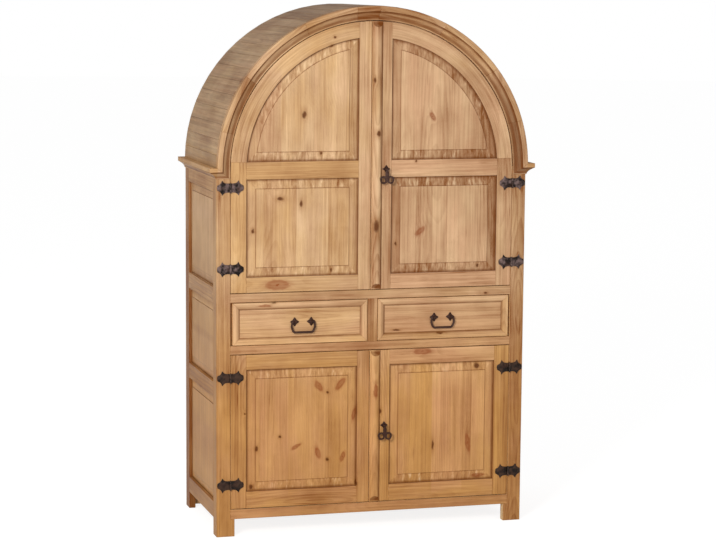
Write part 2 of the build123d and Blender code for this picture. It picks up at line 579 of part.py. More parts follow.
def loop(way, z, y, shrink):
    """One open loop of a drop pull, its outline moved in by shrink."""
    wide, high = LOOP_W - shrink, LOOP_H - shrink
    ring = []
    for i in range(LOOP_SIDES):
        a = 2 * math.pi * i / LOOP_SIDES
        across = math.copysign(abs(math.cos(a)) ** LOOP_SQUARE, math.cos(a))
        along = math.copysign(abs(math.sin(a)) ** LOOP_SQUARE, math.sin(a))
        ring.append((wide * across, high * along))
    place = front_plane(DROP_X + way * LOOP_X, y, z - LOOP_DOWN) * Rot(0, 0, -way * LOOP_TILT)
    return extrude(place * Polygon(*ring, align=None), amount=DROP_T, dir=(0, -1, 0))


def drop_pull(z):
    """Drop with a tapered neck and two open loops, like a bow."""
    y0, y1 = DROP_Y - DROP_T / 2, DROP_Y + DROP_T / 2
    eye = forged_x(LUG_R, DROP_X - LUG_IN + FIT, DROP_X + LUG_IN - FIT, DROP_Y, z)
    past = LUG_OUT + DROP_PIN_PAST
    eye = eye + forged_x(DROP_PIN_R, DROP_X - past, DROP_X + past, DROP_Y, z)
    right = [(DROP_X + u, z + v) for u, v in DROP_NECK]
    left = [(DROP_X - u, z + v) for u, v in reversed(DROP_NECK[:-1])]
    body = eye + slab(right + left, y0, y1)
    for way in (-1, 1):
        body = body + (loop(way, z, y1, 0) - loop(way, z, y1, LOOP_BAR))
    return body


# ---------- carcass pieces ----------

def front_post():
    """Front post: face board rebated for the doors, side board grooved for the side panels."""
    post = block(POST_IN, HALF, 0, POST_FACE_T, 0, SPRING_Z)
    post = post + block(SIDE_IN, HALF, POST_FACE_T, POST_D, 0, SPRING_Z)
    post = post - block(POST_IN, REBATE_X, 0, REBATE_D, FOOT_Z, SPRING_Z)
    return post - side_groove(POST_D - GROOVE, POST_D)


def side_groove(y0, y1):
    """Room for panel tongues and rail tenons on the side of the cabinet."""
    x1 = HALF - SIDE_TONGUE
    return block(x1 - TONGUE_T, x1, y0, y1, SIDE_RAILS_Z[0][0], SPRING_Z)


def back_post():
    """Back post, grooved in front and rebated behind for the back boards."""
    post = block(SIDE_IN, HALF, BACK_POST_Y, DEPTH, 0, SPRING_Z)
    post = post - side_groove(BACK_POST_Y, BACK_POST_Y + GROOVE)
    return post - block(SIDE_IN, SIDE_IN + PLANK_REBATE, PLANK_Y, DEPTH, 0, SPRING_Z)


def side_rail(z0, z1, low_groove, high_groove):
    """Side rail with stub tenons in the post grooves."""
    x1 = HALF - SIDE_TONGUE
    x0 = x1 - TONGUE_T
    reach = GROOVE - FIT
    body = block(SIDE_IN, HALF, POST_D, BACK_POST_Y, z0, z1)
    tenon_z0 = z0 + GROOVE if low_groove else z0
    tenon_z1 = z1 - GROOVE if high_groove else z1
    body = body + block(x0, x1, POST_D - reach, BACK_POST_Y + reach, tenon_z0, tenon_z1)
    if low_groove:
        body = body - block(x0, x1, POST_D - GROOVE, BACK_POST_Y + GROOVE, z0, z0 + GROOVE)
    if high_groove:
        body = body - block(x0, x1, POST_D - GROOVE, BACK_POST_Y + GROOVE, z1 - GROOVE, z1)
    return body


def side_rails():
    """All four rails of one side."""
    last = len(SIDE_RAILS_Z) - 1
    return [side_rail(z0, z1, i > 0, i < last) for i, (z0, z1) in enumerate(SIDE_RAILS_Z)]


def side_panels():
    """Three raised panels of one side."""
    pieces = []
    for below, above in zip(SIDE_RAILS_Z, SIDE_RAILS_Z[1:]):
        outline = rectangle(POST_D, BACK_POST_Y, below[1], above[0])
        panel = raised_panel(outline, SIDE_BEVEL, SIDE_TONGUE, SIDE_BEVEL_TOP, SIDE_FIELD)
        pieces.append(SIDE_PLANE * panel)
    return pieces


def felloes(section):
    """Sawn arch pieces of one section, butted end to end round the half circle."""
    step = 180 / FELLOES
    return [turned(section, i * step, (i + 1) * step) for i in range(FELLOES)]


def front_arch():
    """Front rib: rebated like the posts and carrying the front ends of the staves."""
    return felloes([(RIB_IN, REBATE_D), (RIB_REBATE, REBATE_D), (RIB_REBATE, 0), (RIB_OUT, 0),
                    (RIB_OUT, POST_FACE_T), (RIB_IN, POST_FACE_T)])


def back_arch():
    """Back rib under the rear ends of the staves, with a rebate for the boards behind."""
    return felloes([(BACK_RIB_IN, BACK_POST_Y), (RIB_OUT, BACK_POST_Y), (RIB_OUT, DEPTH),
                    (BACK_RIB_BOARDS, DEPTH), (BACK_RIB_BOARDS, PLANK_Y), (BACK_RIB_IN, PLANK_Y)])


def hood_staves():
    """Flat staves side by side over the arch, outer edges eased."""
    half_angle = math.pi / STAVES / 2
    ease = STAVE_CHAMFER
    half_out = STAVE_OUT * math.tan(half_angle)
    half_low = (STAVE_OUT - ease) * math.tan(half_angle)
    half_in = RIB_OUT * math.tan(half_angle)
    section = [(RIB_OUT, -half_in), (STAVE_OUT - ease, -half_low), (STAVE_OUT, ease - half_out),
               (STAVE_OUT, half_out - ease), (STAVE_OUT - ease, half_low), (RIB_OUT, half_in)]
    pieces = []
    for i in range(STAVES):
        a = (2 * i + 1) * half_angle
        c, s = math.cos(a), math.sin(a)
        points = [(r * c - t * s, SPRING_Z + r * s + t * c) for r, t in section]
        pieces.append(slab(points, 0, DEPTH))
    return pieces


def back_boards():
    """Upright back planks cut to the arch, back edges eased."""
    edge = SIDE_IN + PLANK_REBATE - FIT
    pitch = 2 * edge / PLANKS
    y0, y1 = PLANK_Y, PLANK_Y + PLANK_T
    room = block(-BIG, BIG, y0, y1, 0, SPRING_Z) + disc(BACK_RIB_BOARDS - FIT, y0, y1)
    pieces = []
    for i in range(PLANKS):
        a = -edge + i * pitch
        b = a + pitch
        outline = [(a, y0), (b, y0), (b, y1 - PLANK_EASE), (b - PLANK_EASE, y1),
                   (a + PLANK_EASE, y1), (a, y1 - PLANK_EASE)]
        pieces.append(bar(outline, PLANK_BOTTOM, BIG) & room)
    return pieces


def notched_board(top):
    """Board that fits round the front posts up to the back of the front rail."""
    wide, narrow = SIDE_IN, POST_IN
    outline = [(-narrow, REBATE_D), (narrow, REBATE_D), (narrow, POST_FACE_T), (wide, POST_FACE_T),
               (wide, BACK_RAIL_Y), (-wide, BACK_RAIL_Y), (-wide, POST_FACE_T), (-narrow, POST_FACE_T)]
    return bar(outline, top - BOARD_T, top)


def shelf(top):
    """Plain shelf between the posts."""
    return block(-SIDE_IN, SIDE_IN, POST_D, BACK_RAIL_Y, top - BOARD_T, top)


def cleats(top):
    """Pair of strips under the ends of a board."""
    z1 = top - BOARD_T
    right = block(SIDE_IN - CLEAT_W, SIDE_IN, POST_D, BACK_RAIL_Y, z1 - CLEAT_H, z1)
    return [right] + mirrored([right])


def drawer_guides():
    """Partition between the drawers and the strips that keep them straight."""
    floor = RAILS_Z[1][1]
    ceiling = RAILS_Z[2][1] - BOARD_T
    half = GUIDE_T / 2
    partition = block(-half, half, REBATE_D, BACK_RAIL_Y, floor, ceiling)
    inner = block(half, BOX_X[0] - RUN_GAP, POST_D, BACK_RAIL_Y, floor, floor + GUIDE_H)
    start = BOX_X[1] + RUN_GAP
    outer = block(start, start + GUIDE_T, POST_D, BACK_RAIL_Y, floor, floor + GUIDE_H)
    return [partition, inner, outer] + mirrored([inner, outer])


def door_stops():
    """Blocks behind the meeting stiles, on the two floors and under the drawer floor."""
    y0, y1 = REBATE_D, REBATE_D + STOP_D
    lows = [BOTTOM_RAIL[1], TOP_RAIL[1], MIDDLE_RAIL[1] - BOARD_T - STOP_H]
    return [block(-STOP_REACH, STOP_REACH, y0, y1, z, z + STOP_H) for z in lows]


# ---------- writing the pieces ----------

for name, piece in (("front_post", front_post()), ("back_post", back_post())):
    save("right_" + name, [piece])
    save("left_" + name, mirrored([piece]))
for name, pieces in (("side_rails", side_rails()), ("side_panels", side_panels())):
    save("right_" + name, pieces)
    save("left_" + name, mirrored(pieces))
save("front_rails", [block(-REBATE_X, REBATE_X, 0, REBATE_D, z0, z1) for z0, z1 in RAILS_Z])
save("drawer_divider", [block(-DIVIDER_HALF, DIVIDER_HALF, 0, REBATE_D, RAILS_Z[1][1], RAILS_Z[2][0])])
save("front_arch", front_arch())
save("back_arch", back_arch())
save("hood_staves", hood_staves())
save("arch_trim", arch_trim())
cornice = cornice_right()
save("side_cornices", cornice + mirrored(cornice))
save("back_boards", back_boards())
save("back_rails", [block(-SIDE_IN, SIDE_IN, BACK_RAIL_Y, PLANK_Y, z0, z1) for z0, z1 in BACK_RAILS_Z])
save("bottom_board", [notched_board(RAILS_Z[0][1])])
save("drawer_case_boards", [notched_board(RAILS_Z[1][1]), notched_board(RAILS_Z[2][1])])
save("shelves", [shelf(z) for z in SHELVES_Z])
carried = [z1 for z0, z1 in RAILS_Z] + SHELVES_Z
save("shelf_cleats", [piece for z in carried for piece in cleats(z)])
save("drawer_guides", drawer_guides())
save("door_stops", door_stops())

hinge_heights = HINGES_UPPER + HINGES_LOWER
leaves = [frame_leaf(z) for z in hinge_heights]
pins = [hinge_pin(z) for z in hinge_heights]
save("frame_hinge_leaves", leaves + mirrored(leaves))
save("hinge_pins", pins + mirrored(pins))

for level, make, heights in (("upper", upper_door, HINGES_UPPER), ("lower", lower_door, HINGES_LOWER)):
    right = make(MEET_RIGHT, OPEN_RIGHT)
    left = make(MEET_LEFT, OPEN_LEFT)
    for name in right:
        save(level + "_right_" + name, right[name])
        save(level + "_left_" + name, mirrored(left[name]))
    plates = [door_leaf(z) for z in heights]
    save(level + "_right_hinge_leaves", plates)
    save(level + "_left_hinge_leaves", mirrored(plates))
    save(level + "_pull_plate", [drop_plate(DROP_ZS[level])])
    save(level + "_drop_pull", [drop_pull(DROP_ZS[level])])
save("upper_astragal", [astragal(UPPER_Z, SPRING_Z + DOOR_EDGE, True)])
save("lower_astragal", [astragal(LOWER_Z[0], LOWER_Z[1], False)])

drawer_sets = {
    "drawer_front": [block(*DRAWER_X, DRAWER_FACE, DRAWER_BACK, *DRAWER_Z)],
    "drawer_moulding": picture_frame(),
    "drawer_box": drawer_box(),
}
for name, pieces in drawer_sets.items():
    save("right_" + name, pieces)
    save("left_" + name, mirrored(pieces))
for hand, x in (("right", BAIL_RIGHT), ("left", BAIL_LEFT)):
    save(hand + "_rosettes", [rosette(x - ROSETTE_X), rosette(x + ROSETTE_X)])
    save(hand + "_bail", [bail(x)])
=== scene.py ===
import json
import math
import random

import bmesh
import bpy
from mathutils import Matrix, Vector


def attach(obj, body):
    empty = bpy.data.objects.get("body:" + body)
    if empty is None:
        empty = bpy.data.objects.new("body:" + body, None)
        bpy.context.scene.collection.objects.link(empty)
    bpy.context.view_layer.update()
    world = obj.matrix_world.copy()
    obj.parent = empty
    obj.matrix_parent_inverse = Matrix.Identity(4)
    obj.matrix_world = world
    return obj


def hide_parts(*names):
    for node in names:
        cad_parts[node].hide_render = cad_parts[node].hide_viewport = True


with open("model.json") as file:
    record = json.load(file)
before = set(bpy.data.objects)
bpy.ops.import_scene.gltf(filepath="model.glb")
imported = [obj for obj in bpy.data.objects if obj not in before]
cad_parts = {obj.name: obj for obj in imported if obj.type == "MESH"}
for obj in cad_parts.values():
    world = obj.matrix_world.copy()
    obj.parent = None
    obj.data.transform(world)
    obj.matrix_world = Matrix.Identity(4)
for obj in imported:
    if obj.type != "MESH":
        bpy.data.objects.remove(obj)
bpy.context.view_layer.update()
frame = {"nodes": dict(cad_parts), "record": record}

# ---------- sizes shared with the solids ----------

MM = 0.001
FRONT_Y = -270.5 * MM            # face of the rails, posts and doors
SPRING_Z = 1394 * MM             # centre height of the arch
SIDE_FACE_X = 609.5 * MM         # outer face of the posts
FLANK_X = 607.5 * MM             # beyond this a face belongs to the side of the cabinet
TRIM_OUT, TRIM_WIDTH = 611 * MM, 53 * MM
CORNICE_TOP, CORNICE_HEIGHT = 1406 * MM, 42 * MM
ASTRAGAL_LEFT, ASTRAGAL_WIDTH = -8.5 * MM, 41.5 * MM
DRAWER_MIDDLE_X, DRAWER_MIDDLE_Z = 284 * MM, 814.65 * MM
DRAWER_HALF_W, DRAWER_HALF_H, DRAWER_MOULD_W = 262 * MM, 79.65 * MM, 27 * MM
REBATE_DEPTH, TONGUE_MIDDLE = 23 * MM, 7 * MM
# depth below the face of a panel's field, of its bevel's top and of its tongue
PANEL_DEPTHS = {"door": (2.5 * MM, 4.5 * MM, 9.5 * MM), "side": (7 * MM, 9 * MM, 13 * MM)}

EASE = 0.9 * MM                  # eased edges of the woodwork
PANEL_EASE = 0.54 * MM
IRON_EASE = 0.5 * MM
FLAT_TURN, SHARP_TURN = math.radians(0.4), math.radians(24)
WOOD_CREASE, IRON_CREASE, NAIL_CREASE = 22, 50, 60     # degrees
MERGE = 1e-5                     # corners closer than this are one

# ---------- which board is which ----------

# grain along, across and into the board
GRAIN_ALONG = {
    "x": (Vector((1, 0, 0)), Vector((0, 0, 1)), Vector((0, 1, 0))),
    "z": (Vector((0, 0, 1)), Vector((1, 0, 0)), Vector((0, 1, 0))),
    "z_side": (Vector((0, 0, 1)), Vector((0, 1, 0)), Vector((1, 0, 0))),
}
GRAIN_OF = {
    "side_panels": "z_side", "panels": "z", "panel": "z", "drawer_front": "x",
    "arch": "arch", "arch_trim": "arch", "hood_staves": "stave",
}
CURVED = ("left_arch", "right_arch")   # boards whose grain is drawn round the bend
DOOR_BOARDS = ("stiles", "rails", "left_arch", "right_arch")
FRONT_BOARDS = ("stiles", "left_rails", "right_rails", "left_arch", "right_arch", "front_rails",
                "drawer_front", "drawer_divider", "front_post", "drawer_moulding")
HANDLED = ("bail", "pull", "rosettes", "plate")

# brightness and redness given to boards one by one; others are drawn at random
BOARD_TONES = {
    "left_front_post": [(-0.45, -0.2)],
    "right_front_post": [(-0.65, 0.2)],
    "front_rails": [(-0.45, 0.9), (-0.55, 0.9), (-0.5, 0.6)],
    "drawer_divider": [(-1.0, 0.3)],
    "left_drawer_front": [(-0.2, 0.5)],
    "right_drawer_front": [(-0.25, 1.2)],
    "lower_left_stiles": [(-0.45, 0.0), (-0.5, 0.2)],
    "lower_left_rails": [(-0.6, 0.1), (-0.4, -0.5)],
    "lower_left_panel": [(-0.3, 0.2)],
    "lower_right_stiles": [(-0.3, -0.6), (-0.2, 0.1)],
    "lower_right_rails": [(-0.15, 0.0), (-0.1, 1.1)],
    "lower_right_panel": [(-0.05, 0.1)],
    "lower_astragal": [(-0.1, 0.2)],
    "upper_left_stiles": [(-0.12, -0.8), (-0.25, 0.4)],
    "upper_left_rails": [(-0.35, -0.3), (-0.25, -1.0)],
    "upper_left_panels": [(-0.2, -0.1), (-0.25, 0.2)],
    "upper_left_arch": [(-0.2, -0.3)],
    "upper_right_stiles": [(-0.4, 0.9), (-0.45, 0.9)],
    "upper_right_rails": [(-0.15, 2.2), (-0.3, 1.6)],
    "upper_right_panels": [(-0.25, 1.4), (-0.12, 1.3)],
    "upper_right_arch": [(-0.3, 0.9)],
    "upper_astragal": [(-0.4, 0.6)],
}
# tone, redness and greyness shared by all the boards of a node
PLAIN_NODE = (0, 0.5, 0)
NODE_TONES = {
    "arch_trim": (-0.42, 0.1, 0.0), "side_cornices": (-0.32, 0.3, 0.0),
    # the side rails, back posts and side panels are darker partly by their own tone and partly as painted
    # shade on the flanks
    "left_side_rails": (-0.62, 0.1, 0.0), "right_side_rails": (-0.62, 0.1, 0.0),
    "left_back_post": (-1.2, 0.1, 0.0), "right_back_post": (-1.2, 0.1, 0.0),
    "left_side_panels": (-0.15, -0.3, 0.0), "right_side_panels": (-0.15, -0.3, 0.0),
    # the upper right panels' greyness is painted cooler light; the hood staves' greyness is weathering
    "upper_right_panels": (0.0, 0.5, 0.08), "hood_staves": (-0.25, 0.6, 0.55),
}
# how far the drawn boards of a node spread
TONE_SPREAD, TRIM_TONE_SPREAD = 0.10, 0.03
REDNESS_SPREAD, TONED_REDNESS_SHARE = 0.5, 0.2
GRAIN_START_SPREAD = 9
FIRST_SEED = 100
# how much darker the bevels of a panel have been stained than its field
BEVEL_STAIN = {"upper_right_panels": 0.42, "upper_left_panels": 0.08, "lower_right_panel": 0.06}

# Knots on the front: x and z of the middle, half width, half height, in millimetres.
KNOTS = [
    (-272, 1599, 12, 22), (-165, 1856, 9, 6), (-205, 1455, 6, 7), (-364, 1286, 18, 10),
    (-282, 1266, 9, 19), (-469, 1166, 9, 13), (-163, 1011, 6, 11), (0, 1728, 6, 13),
    (16, 1526, 10, 16), (9, 1175, 15, 34), (168, 1419, 6, 5), (422, 1014, 6, 9),
    (92, 1105, 6, 11), (-155, 1889, 6, 6), (-388, 894, 12, 5), (269, 756, 20, 5),
    (97, 772, 20, 5), (-175, 542, 7, 8), (-174, 281, 10, 10), (-362, 376, 7, 7),
    (-453, 335, 7, 14), (-475, 187, 11, 14), (-60, 184, 6, 16), (-499, 473, 6, 5),
    (423, 621, 15, 17), (248, 316, 6, 24), (33, 459, 9, 14), (455, 905, 8, 5),
]
# Reddish figure round buried branches: the same four sizes and a tilt in degrees.
FIGURES = [
    (-374, 961, 50, 20, 0), (202, 686, 38, 13, 0), (187, 1151, 24, 12, 40),
    (232, 1589, 9, 20, 30), (-210, 566, 12, 26, 38), (-124, 572, 14, 30, -38),
    (-214, 309, 11, 27, 18), (-114, 289, 9, 22, -22), (-298, 337, 22, 7, 30),
    (-69, 452, 9, 30, -12), (13, 543, 9, 30, 0), (391, 319, 10, 40, 8),
    (435, 187, 30, 8, 0), (-423, 882, 26, 5, 0),
]
# Soft patches on the front: left, right, low and high edge in millimetres, darker by, redder by.
PATCHES = [
    (-520, -361, 1410, 1760, 0.26, 0.6), (272, 500, 1410, 1760, 0.22, 0.2),
    (-500, -440, 985, 1320, 0.16, 0.3), (366, 500, 140, 640, 0.14, 0.3),
    (243, 366, 140, 640, -0.08, 0.9), (-440, -330, 140, 640, 0.05, 0.7),
    (60, 243, 140, 640, 0.16, -0.4), (60, 190, 985, 1320, 0.22, 0.4),
]
PATCH_SIDE_FADE, PATCH_END_FADE = 3, 25


# ---------- shader arithmetic ----------

def add_node(tree, kind, settings=None, sockets=()):
    """Adds one node: its settings first, then the values or links of its sockets."""
    node = tree.nodes.new(kind)
    for key, setting in (settings or {}).items():
        setattr(node, key, setting)
    pairs = sockets.items() if isinstance(sockets, dict) else enumerate(sockets)
    for key, given in pairs:
        socket = node.inputs[key]
        if isinstance(given, (Value, Direction)):
            tree.links.new(given.socket, socket)
        elif hasattr(given, "is_linked"):
            tree.links.new(given, socket)
        elif isinstance(given, tuple) and socket.type == "RGBA":
            socket.default_value = (*given[:3], 1.0)
        else:
            socket.default_value = given
    return node


def operation(kind):
    """A method of Value that does one sum."""
    return lambda self, *others: self.finish.maths(kind, self, *others)


class Value:
    """A shader socket that can be added, multiplied and compared like a number."""

    def __init__(self, finish, socket):
        self.finish, self.socket = finish, socket

    __add__ = __radd__ = operation("ADD")
    __sub__ = operation("SUBTRACT")
    __mul__ = __rmul__ = operation("MULTIPLY")
    __truediv__ = operation("DIVIDE")
    least, most = operation("MINIMUM"), operation("MAXIMUM")
    floor, fraction = operation("FLOOR"), operation("FRACT")
    root, exponent = operation("SQRT"), operation("EXPONENT")

    def __rsub__(self, other):
        return self.finish.maths("SUBTRACT", other, self)

    def share(self):
        """Kept between 0 and 1."""
        return self.most(0.0).least(1.0)

    def smooth(self, low, high):
        """0 below low, 1 above high; falls instead when low is above high."""
        a, b, rise = (low, high, (0.0, 1.0)) if low < high else (high, low, (1.0, 0.0))
        node = self.finish.node("ShaderNodeMapRange", {"interpolation_type": "SMOOTHSTEP"},
                                (self, a, b) + rise)
        return Value(self.finish, node.outputs[0])

    def between(self, start, full, fall, end):
        """0 up to start, 1 from full to fall and 0 again beyond end."""
        return self.smooth(start, full) * self.smooth(end, fall)


class Direction:
    """A shader socket that carries a place or a direction."""

    def __init__(self, finish, socket):
        self.finish, self.socket = finish, socket

    def vector_maths(self, kind, *others, output=0):
        node = self.finish.node("ShaderNodeVectorMath", {"operation": kind}, (self, *others))
        return node.outputs[output]

    def __sub__(self, other):
        return Direction(self.finish, self.vector_maths("SUBTRACT", other))

    def fitted(self, scale, shift):
        return Direction(self.finish, self.vector_maths("MULTIPLY_ADD", scale, shift))

    def length(self):
        return Value(self.finish, self.vector_maths("LENGTH", output="Value"))

    def parts(self):
        node = self.finish.node("ShaderNodeSeparateXYZ", {}, (self,))
        return [Value(self.finish, out) for out in node.outputs]


class Finish:
    """A material being put together."""

    def __init__(self, name):
        self.material = bpy.data.materials.new(name)
        self.material.use_nodes = True
        self.tree = self.material.node_tree
        self.tree.nodes.clear()

    def node(self, kind, settings=None, sockets=()):
        return add_node(self.tree, kind, settings, sockets)

    def maths(self, kind, *given):
        """Result of one sum of values and numbers."""
        return Value(self, self.node("ShaderNodeMath", {"operation": kind}, given).outputs[0])

    def attribute(self, name):
        """Number that a board's mesh carries."""
        return Value(self, self.node("ShaderNodeAttribute", {"attribute_name": name}).outputs["Fac"])

    def attributes(self, name):
        """Three numbers that a board's mesh carries under one name."""
        node = self.node("ShaderNodeAttribute", {"attribute_name": name})
        return Direction(self, node.outputs["Vector"]).parts()

    def place(self):
        """Where a point is on the object at rest, in metres."""
        return Direction(self, self.node("ShaderNodeTexCoord").outputs["Object"])

    def join(self, x, y, z):
        return Direction(self, self.node("ShaderNodeCombineXYZ", {}, (x, y, z)).outputs[0])

    def noise(self, where, scale=1.0, detail=2.0, roughness=0.5, output="Fac"):
        node = self.node("ShaderNodeTexNoise", {},
                         {"Vector": where, "Scale": scale, "Detail": detail, "Roughness": roughness})
        return (Value if output == "Fac" else Direction)(self, node.outputs[output])

    def chance(self, where):
        """Three random numbers that stay the same all over one cell."""
        node = self.node("ShaderNodeTexWhiteNoise", {"noise_dimensions": "3D"}, {"Vector": where})
        return Direction(self, node.outputs["Color"]).parts()

    def cells(self, settings, sockets):
        """Distance to the nearest cell's middle and a random number of that cell."""
        node = self.node("ShaderNodeTexVoronoi", settings, sockets)
        return (Value(self, node.outputs["Distance"]),
                Direction(self, node.outputs["Color"]))

    def mix(self, amount, first, second):
        """Colour between two others."""
        node = self.node("ShaderNodeMix", {"data_type": "RGBA"}, {0: amount, 6: first, 7: second})
        return Direction(self, node.outputs[2])

    def bump(self, height, distance, strength, under=None):
        sockets = {"Strength": strength, "Distance": distance, "Height": height}
        if under is not None:
            sockets["Normal"] = under
        return Direction(self, self.node("ShaderNodeBump", {}, sockets).outputs[0])

    def surface(self, sockets):
        shader = self.node("ShaderNodeBsdfPrincipled", {}, sockets)
        self.node("ShaderNodeOutputMaterial", {}, {"Surface": shader.outputs[0]})
        return self.material


def colour(red, green, blue):
    """Linear colour from the 0 to 255 values that it shows as."""
    def channel(level):
        level /= 255
        return level / 12.92 if level <= 0.04045 else ((level + 0.055) / 1.055) ** 2.4
    return (channel(red), channel(green), channel(blue))


# ---------- how pine looks ----------

LATE_BROWN, ROSE, OCHRE = colour(132, 78, 36), colour(207, 146, 114), colour(204, 150, 72)
# dark brown for dirt and for the painted shade in quirks and coves
DIRT_AND_SHADE, OLD_STAIN = colour(110, 56, 10), colour(90, 50, 26)
# the pale edge colour is painted light on the faces inside the open joints
CREAM, GAP_PAINTED_LIGHT, GREYED = colour(240, 210, 172), colour(250, 214, 160), colour(126, 106, 84)
FIGURE_BROWN = colour(138, 68, 30)
KNOT_GLOW, KNOT_HEART, KNOT_RIM = colour(140, 84, 30), colour(88, 42, 12), colour(70, 34, 12)

MEAN = 0.5                       # of a noise or a chance number
FRONT_ENDS = (FRONT_Y + 30 * MM, FRONT_Y + 20 * MM)    # depth at which the front's boards end
FLANK_LESS_RED = 1.2
CROWN, CROWN_DARKER = (1860 * MM, 1990 * MM), 0.4

STRIP_WIDTH = 125 * MM           # strips glued up into a panel
STRIP_DRIFT, STRIP_DRIFT_WAVES = 30 * MM, 1.2          # how far the joints between strips wander
GLUE_LEFT, GLUE_RIGHT = (0.02, 0.0), (0.98, 1.0)       # shares of a strip's width
# factors that only set one board's chances apart from another's
DRIFT_SEED, STRIP_SEED, LUCK_SEED, LUCK_REDNESS, CELL_SHIFT, CELL_SEED = 40, 13, 91, 37, 20, 50
BEND_SEED, BEND_LUCK, PITH_SEED, PITH_LUCK = 17, (30, 9), 23, (9, 5)

KNOT_SHOWS = 0.68                # share of a listed knot's size that is dark
KNOT_WOBBLE, KNOT_WOBBLE_WAVES = 10 * MM, 55
KNOT_DEPTH, BEHIND_KNOTS = FRONT_Y + 22 * MM, 400      # listed knots fade out behind this
CELL_WAVES = (2.3, 5.5)          # cells that may hold a chance knot, per metre along and across
WILD_KNOT_SIZE = 0.05            # of a cell
BARREN_CELLS = (0.62, 0.60)      # cells with a lower chance number hold none
FAR = 30                         # far from any knot, in half sizes
WILD_FIGURE = 0.7

RING_WIDTH, RING_SPREAD = 6.2 * MM, 4.2 * MM
RING_SWELL, SWELL_FALL = 12 * MM, -0.5                 # rings pushed aside by a knot
PITH_DEPTH, PITH_SPREAD, PITH_ASIDE = 12 * MM, 45 * MM, 60 * MM
PITH_WANDER, PITH_WAVES = 170 * MM, 1.3
BEND_ACROSS, BEND_INWARD, BEND_WAVES = 50 * MM, 30 * MM, (1.9, 6)
LATE_WOOD = (0.25, 0.92, 0.92, 1.0)                    # shares of a ring
RING_DARK, RING_DARK_SPREAD = 0.10, 0.32

# Patterns that follow the grain: waves per metre along and across it, step from board to board,
# shift, detail, roughness, and whether the pattern goes into the board.
GRAIN_PATTERNS = {
    "fibre": (7, 330, 9, 0, 2, 0.5, True),
    "stripe": (2.4, 62, 9, 0, 3, 0.7, True),
    "band": (2.0, 130, 4, 0, 1, 0.5, True),
    "planing": (3, 26, 5, 0, 1, 0.5, True),
    "cloud": (3.0, 11, 30, 0, 3, 0.5, False),
    "patch": (4.5, 14, 50, 7, 2, 0.5, False),
    "tips": (24, 78, 70, 0, 2, 0.6, False),
    "dashes": (9, 105, 80, 0, 1, 0.5, False),
    "streak": (2.2, 70, 60, 0, 3, 0.65, False),
}
DASH_EDGE, CLOUD_LUCK = (0.66, 0.80), 5
SMUDGE_WAVES, DARKENING_WAVES = 6.5, 14

# how far each pattern darkens or lightens a board
FIBRE, STRIPE, BAND, DASH, CLOUD, SMUDGE = 0.5, 1.2, 1.0, 0.35, 1.6, 1.0
PANEL_STRIPE, PANEL_BAND, PANEL_RING = -0.5, -0.3, -0.25     # panels are calmer by this
STRIP_TONE, GLUE_LINE = 0.42, 0.25
END_TIPS, END_LEVEL, END_DARKER = 2.6, 0.48, 0.02
CREAM_TIPS, CREAM_CLOUDS, CREAM_MOST = (0.46, 0.28), (0.4, 0.6), 0.6
BEVEL_BEGINS = (0.7, 1.1)
SHADE_GAIN, SHADE_REST = 0.55, 0.22

DEEP_BELOW, PALE_ABOVE = 450 * MM, 1050 * MM
# tinges: level, then by redness, by a strip's luck and by patches, and the most of it
ROSE_TINGE, OCHRE_TINGE = (0.0, 0.5, 0.8, 2.2, 0.42), (0.42, -0.7, 0.7, -2.0, 0.5)

# reddish figure, and the glow, heart and rim of a knot
FIGURE_RINGS, FIGURE_GRAIN, FIGURE_RING_EDGE = 1.3, 1.6, (0.2, 0.9)
FIGURE_FALL, FIGURE_MOST, FIGURE_LEVEL, FIGURE_RING = -0.8, 0.88, 0.66, 0.36
GLOW_FALL, GLOW = -0.3, 0.55
HEART_EDGE, HEART = (1.0, 0.6), 0.85
RIM_ZONE, RIM = (0.65, 0.9, 0.95, 1.2), 0.4

GREY_LEVEL, GREY_STREAK = 0.62, 1.5
OLD_STAIN_ASIDE, OLD_STAIN_HEIGHTS = (380 * MM, 570 * MM), (1350 * MM, 1400 * MM, 1620 * MM, 1860 * MM)
OLD_STAIN_LEVEL, OLD_STAIN_STREAK = 0.35, 0.5

# where dirt and painted shade lie: on panels by depth (0 field, 1 bevel, 2 tongue), on mouldings by width
PANEL_GROOVE, FIELD_STEP, FIELD_STEP_DIRT_AND_SHADE = (1.68, 1.95), (0.3, 0.6, 1.02, 1.12), 0.8
PANEL_BACK = (2.25, 2.1)
INNER_COVE, MIDDLE_STEP, MIDDLE_DIRT_AND_SHADE = (0.60, 0.80, 0.90, 0.955), (0.36, 0.40, 0.44, 0.56), 1.1
OUTER_LINE, OUTER_LINE_DARKENING = (0.0, 0.01, 0.01, 0.03), 0.6
HOLLOW = (0.36, 0.44, 0.95, 1.0)
QUIRK_DIRT_AND_SHADE, EASED_DIRT_AND_SCOOP_SHADE, COVE_DIRT_AND_SHADE, MOST_DIRT_AND_SHADE = 0.62, 0.14, 0.66, 0.92
DARKENING_LEVEL, DARKENING_SPREAD = 0.45, 1.1
# painted light on the faces inside the open joints, and dirt with painted shade on the faces round the
# panels
GAP_LIGHT_SHARE, PANEL_EDGE_DIRT_AND_SHADE = 0.8, 0.75

# height of the grain, depth and strength of bumps, and roughness
LATE_WOOD_UP, FIBRE_UP, KNOT_UP = 0.35, 0.5, -0.8
GRAIN_BUMP, PLANING_BUMP = (0.6 * MM, 0.5), (4 * MM, 0.28)
LATE_WOOD_ROUGH, CLOUD_ROUGH, KNOT_ROUGH = -0.06, 0.14, -0.1
WAX_SHEEN = 0.08


def faded(low, high, fade):
    """The four places at which a patch begins, is full, fades and ends."""
    return [(edge + way * fade) * MM for edge in (low, high) for way in (-1, 1)]


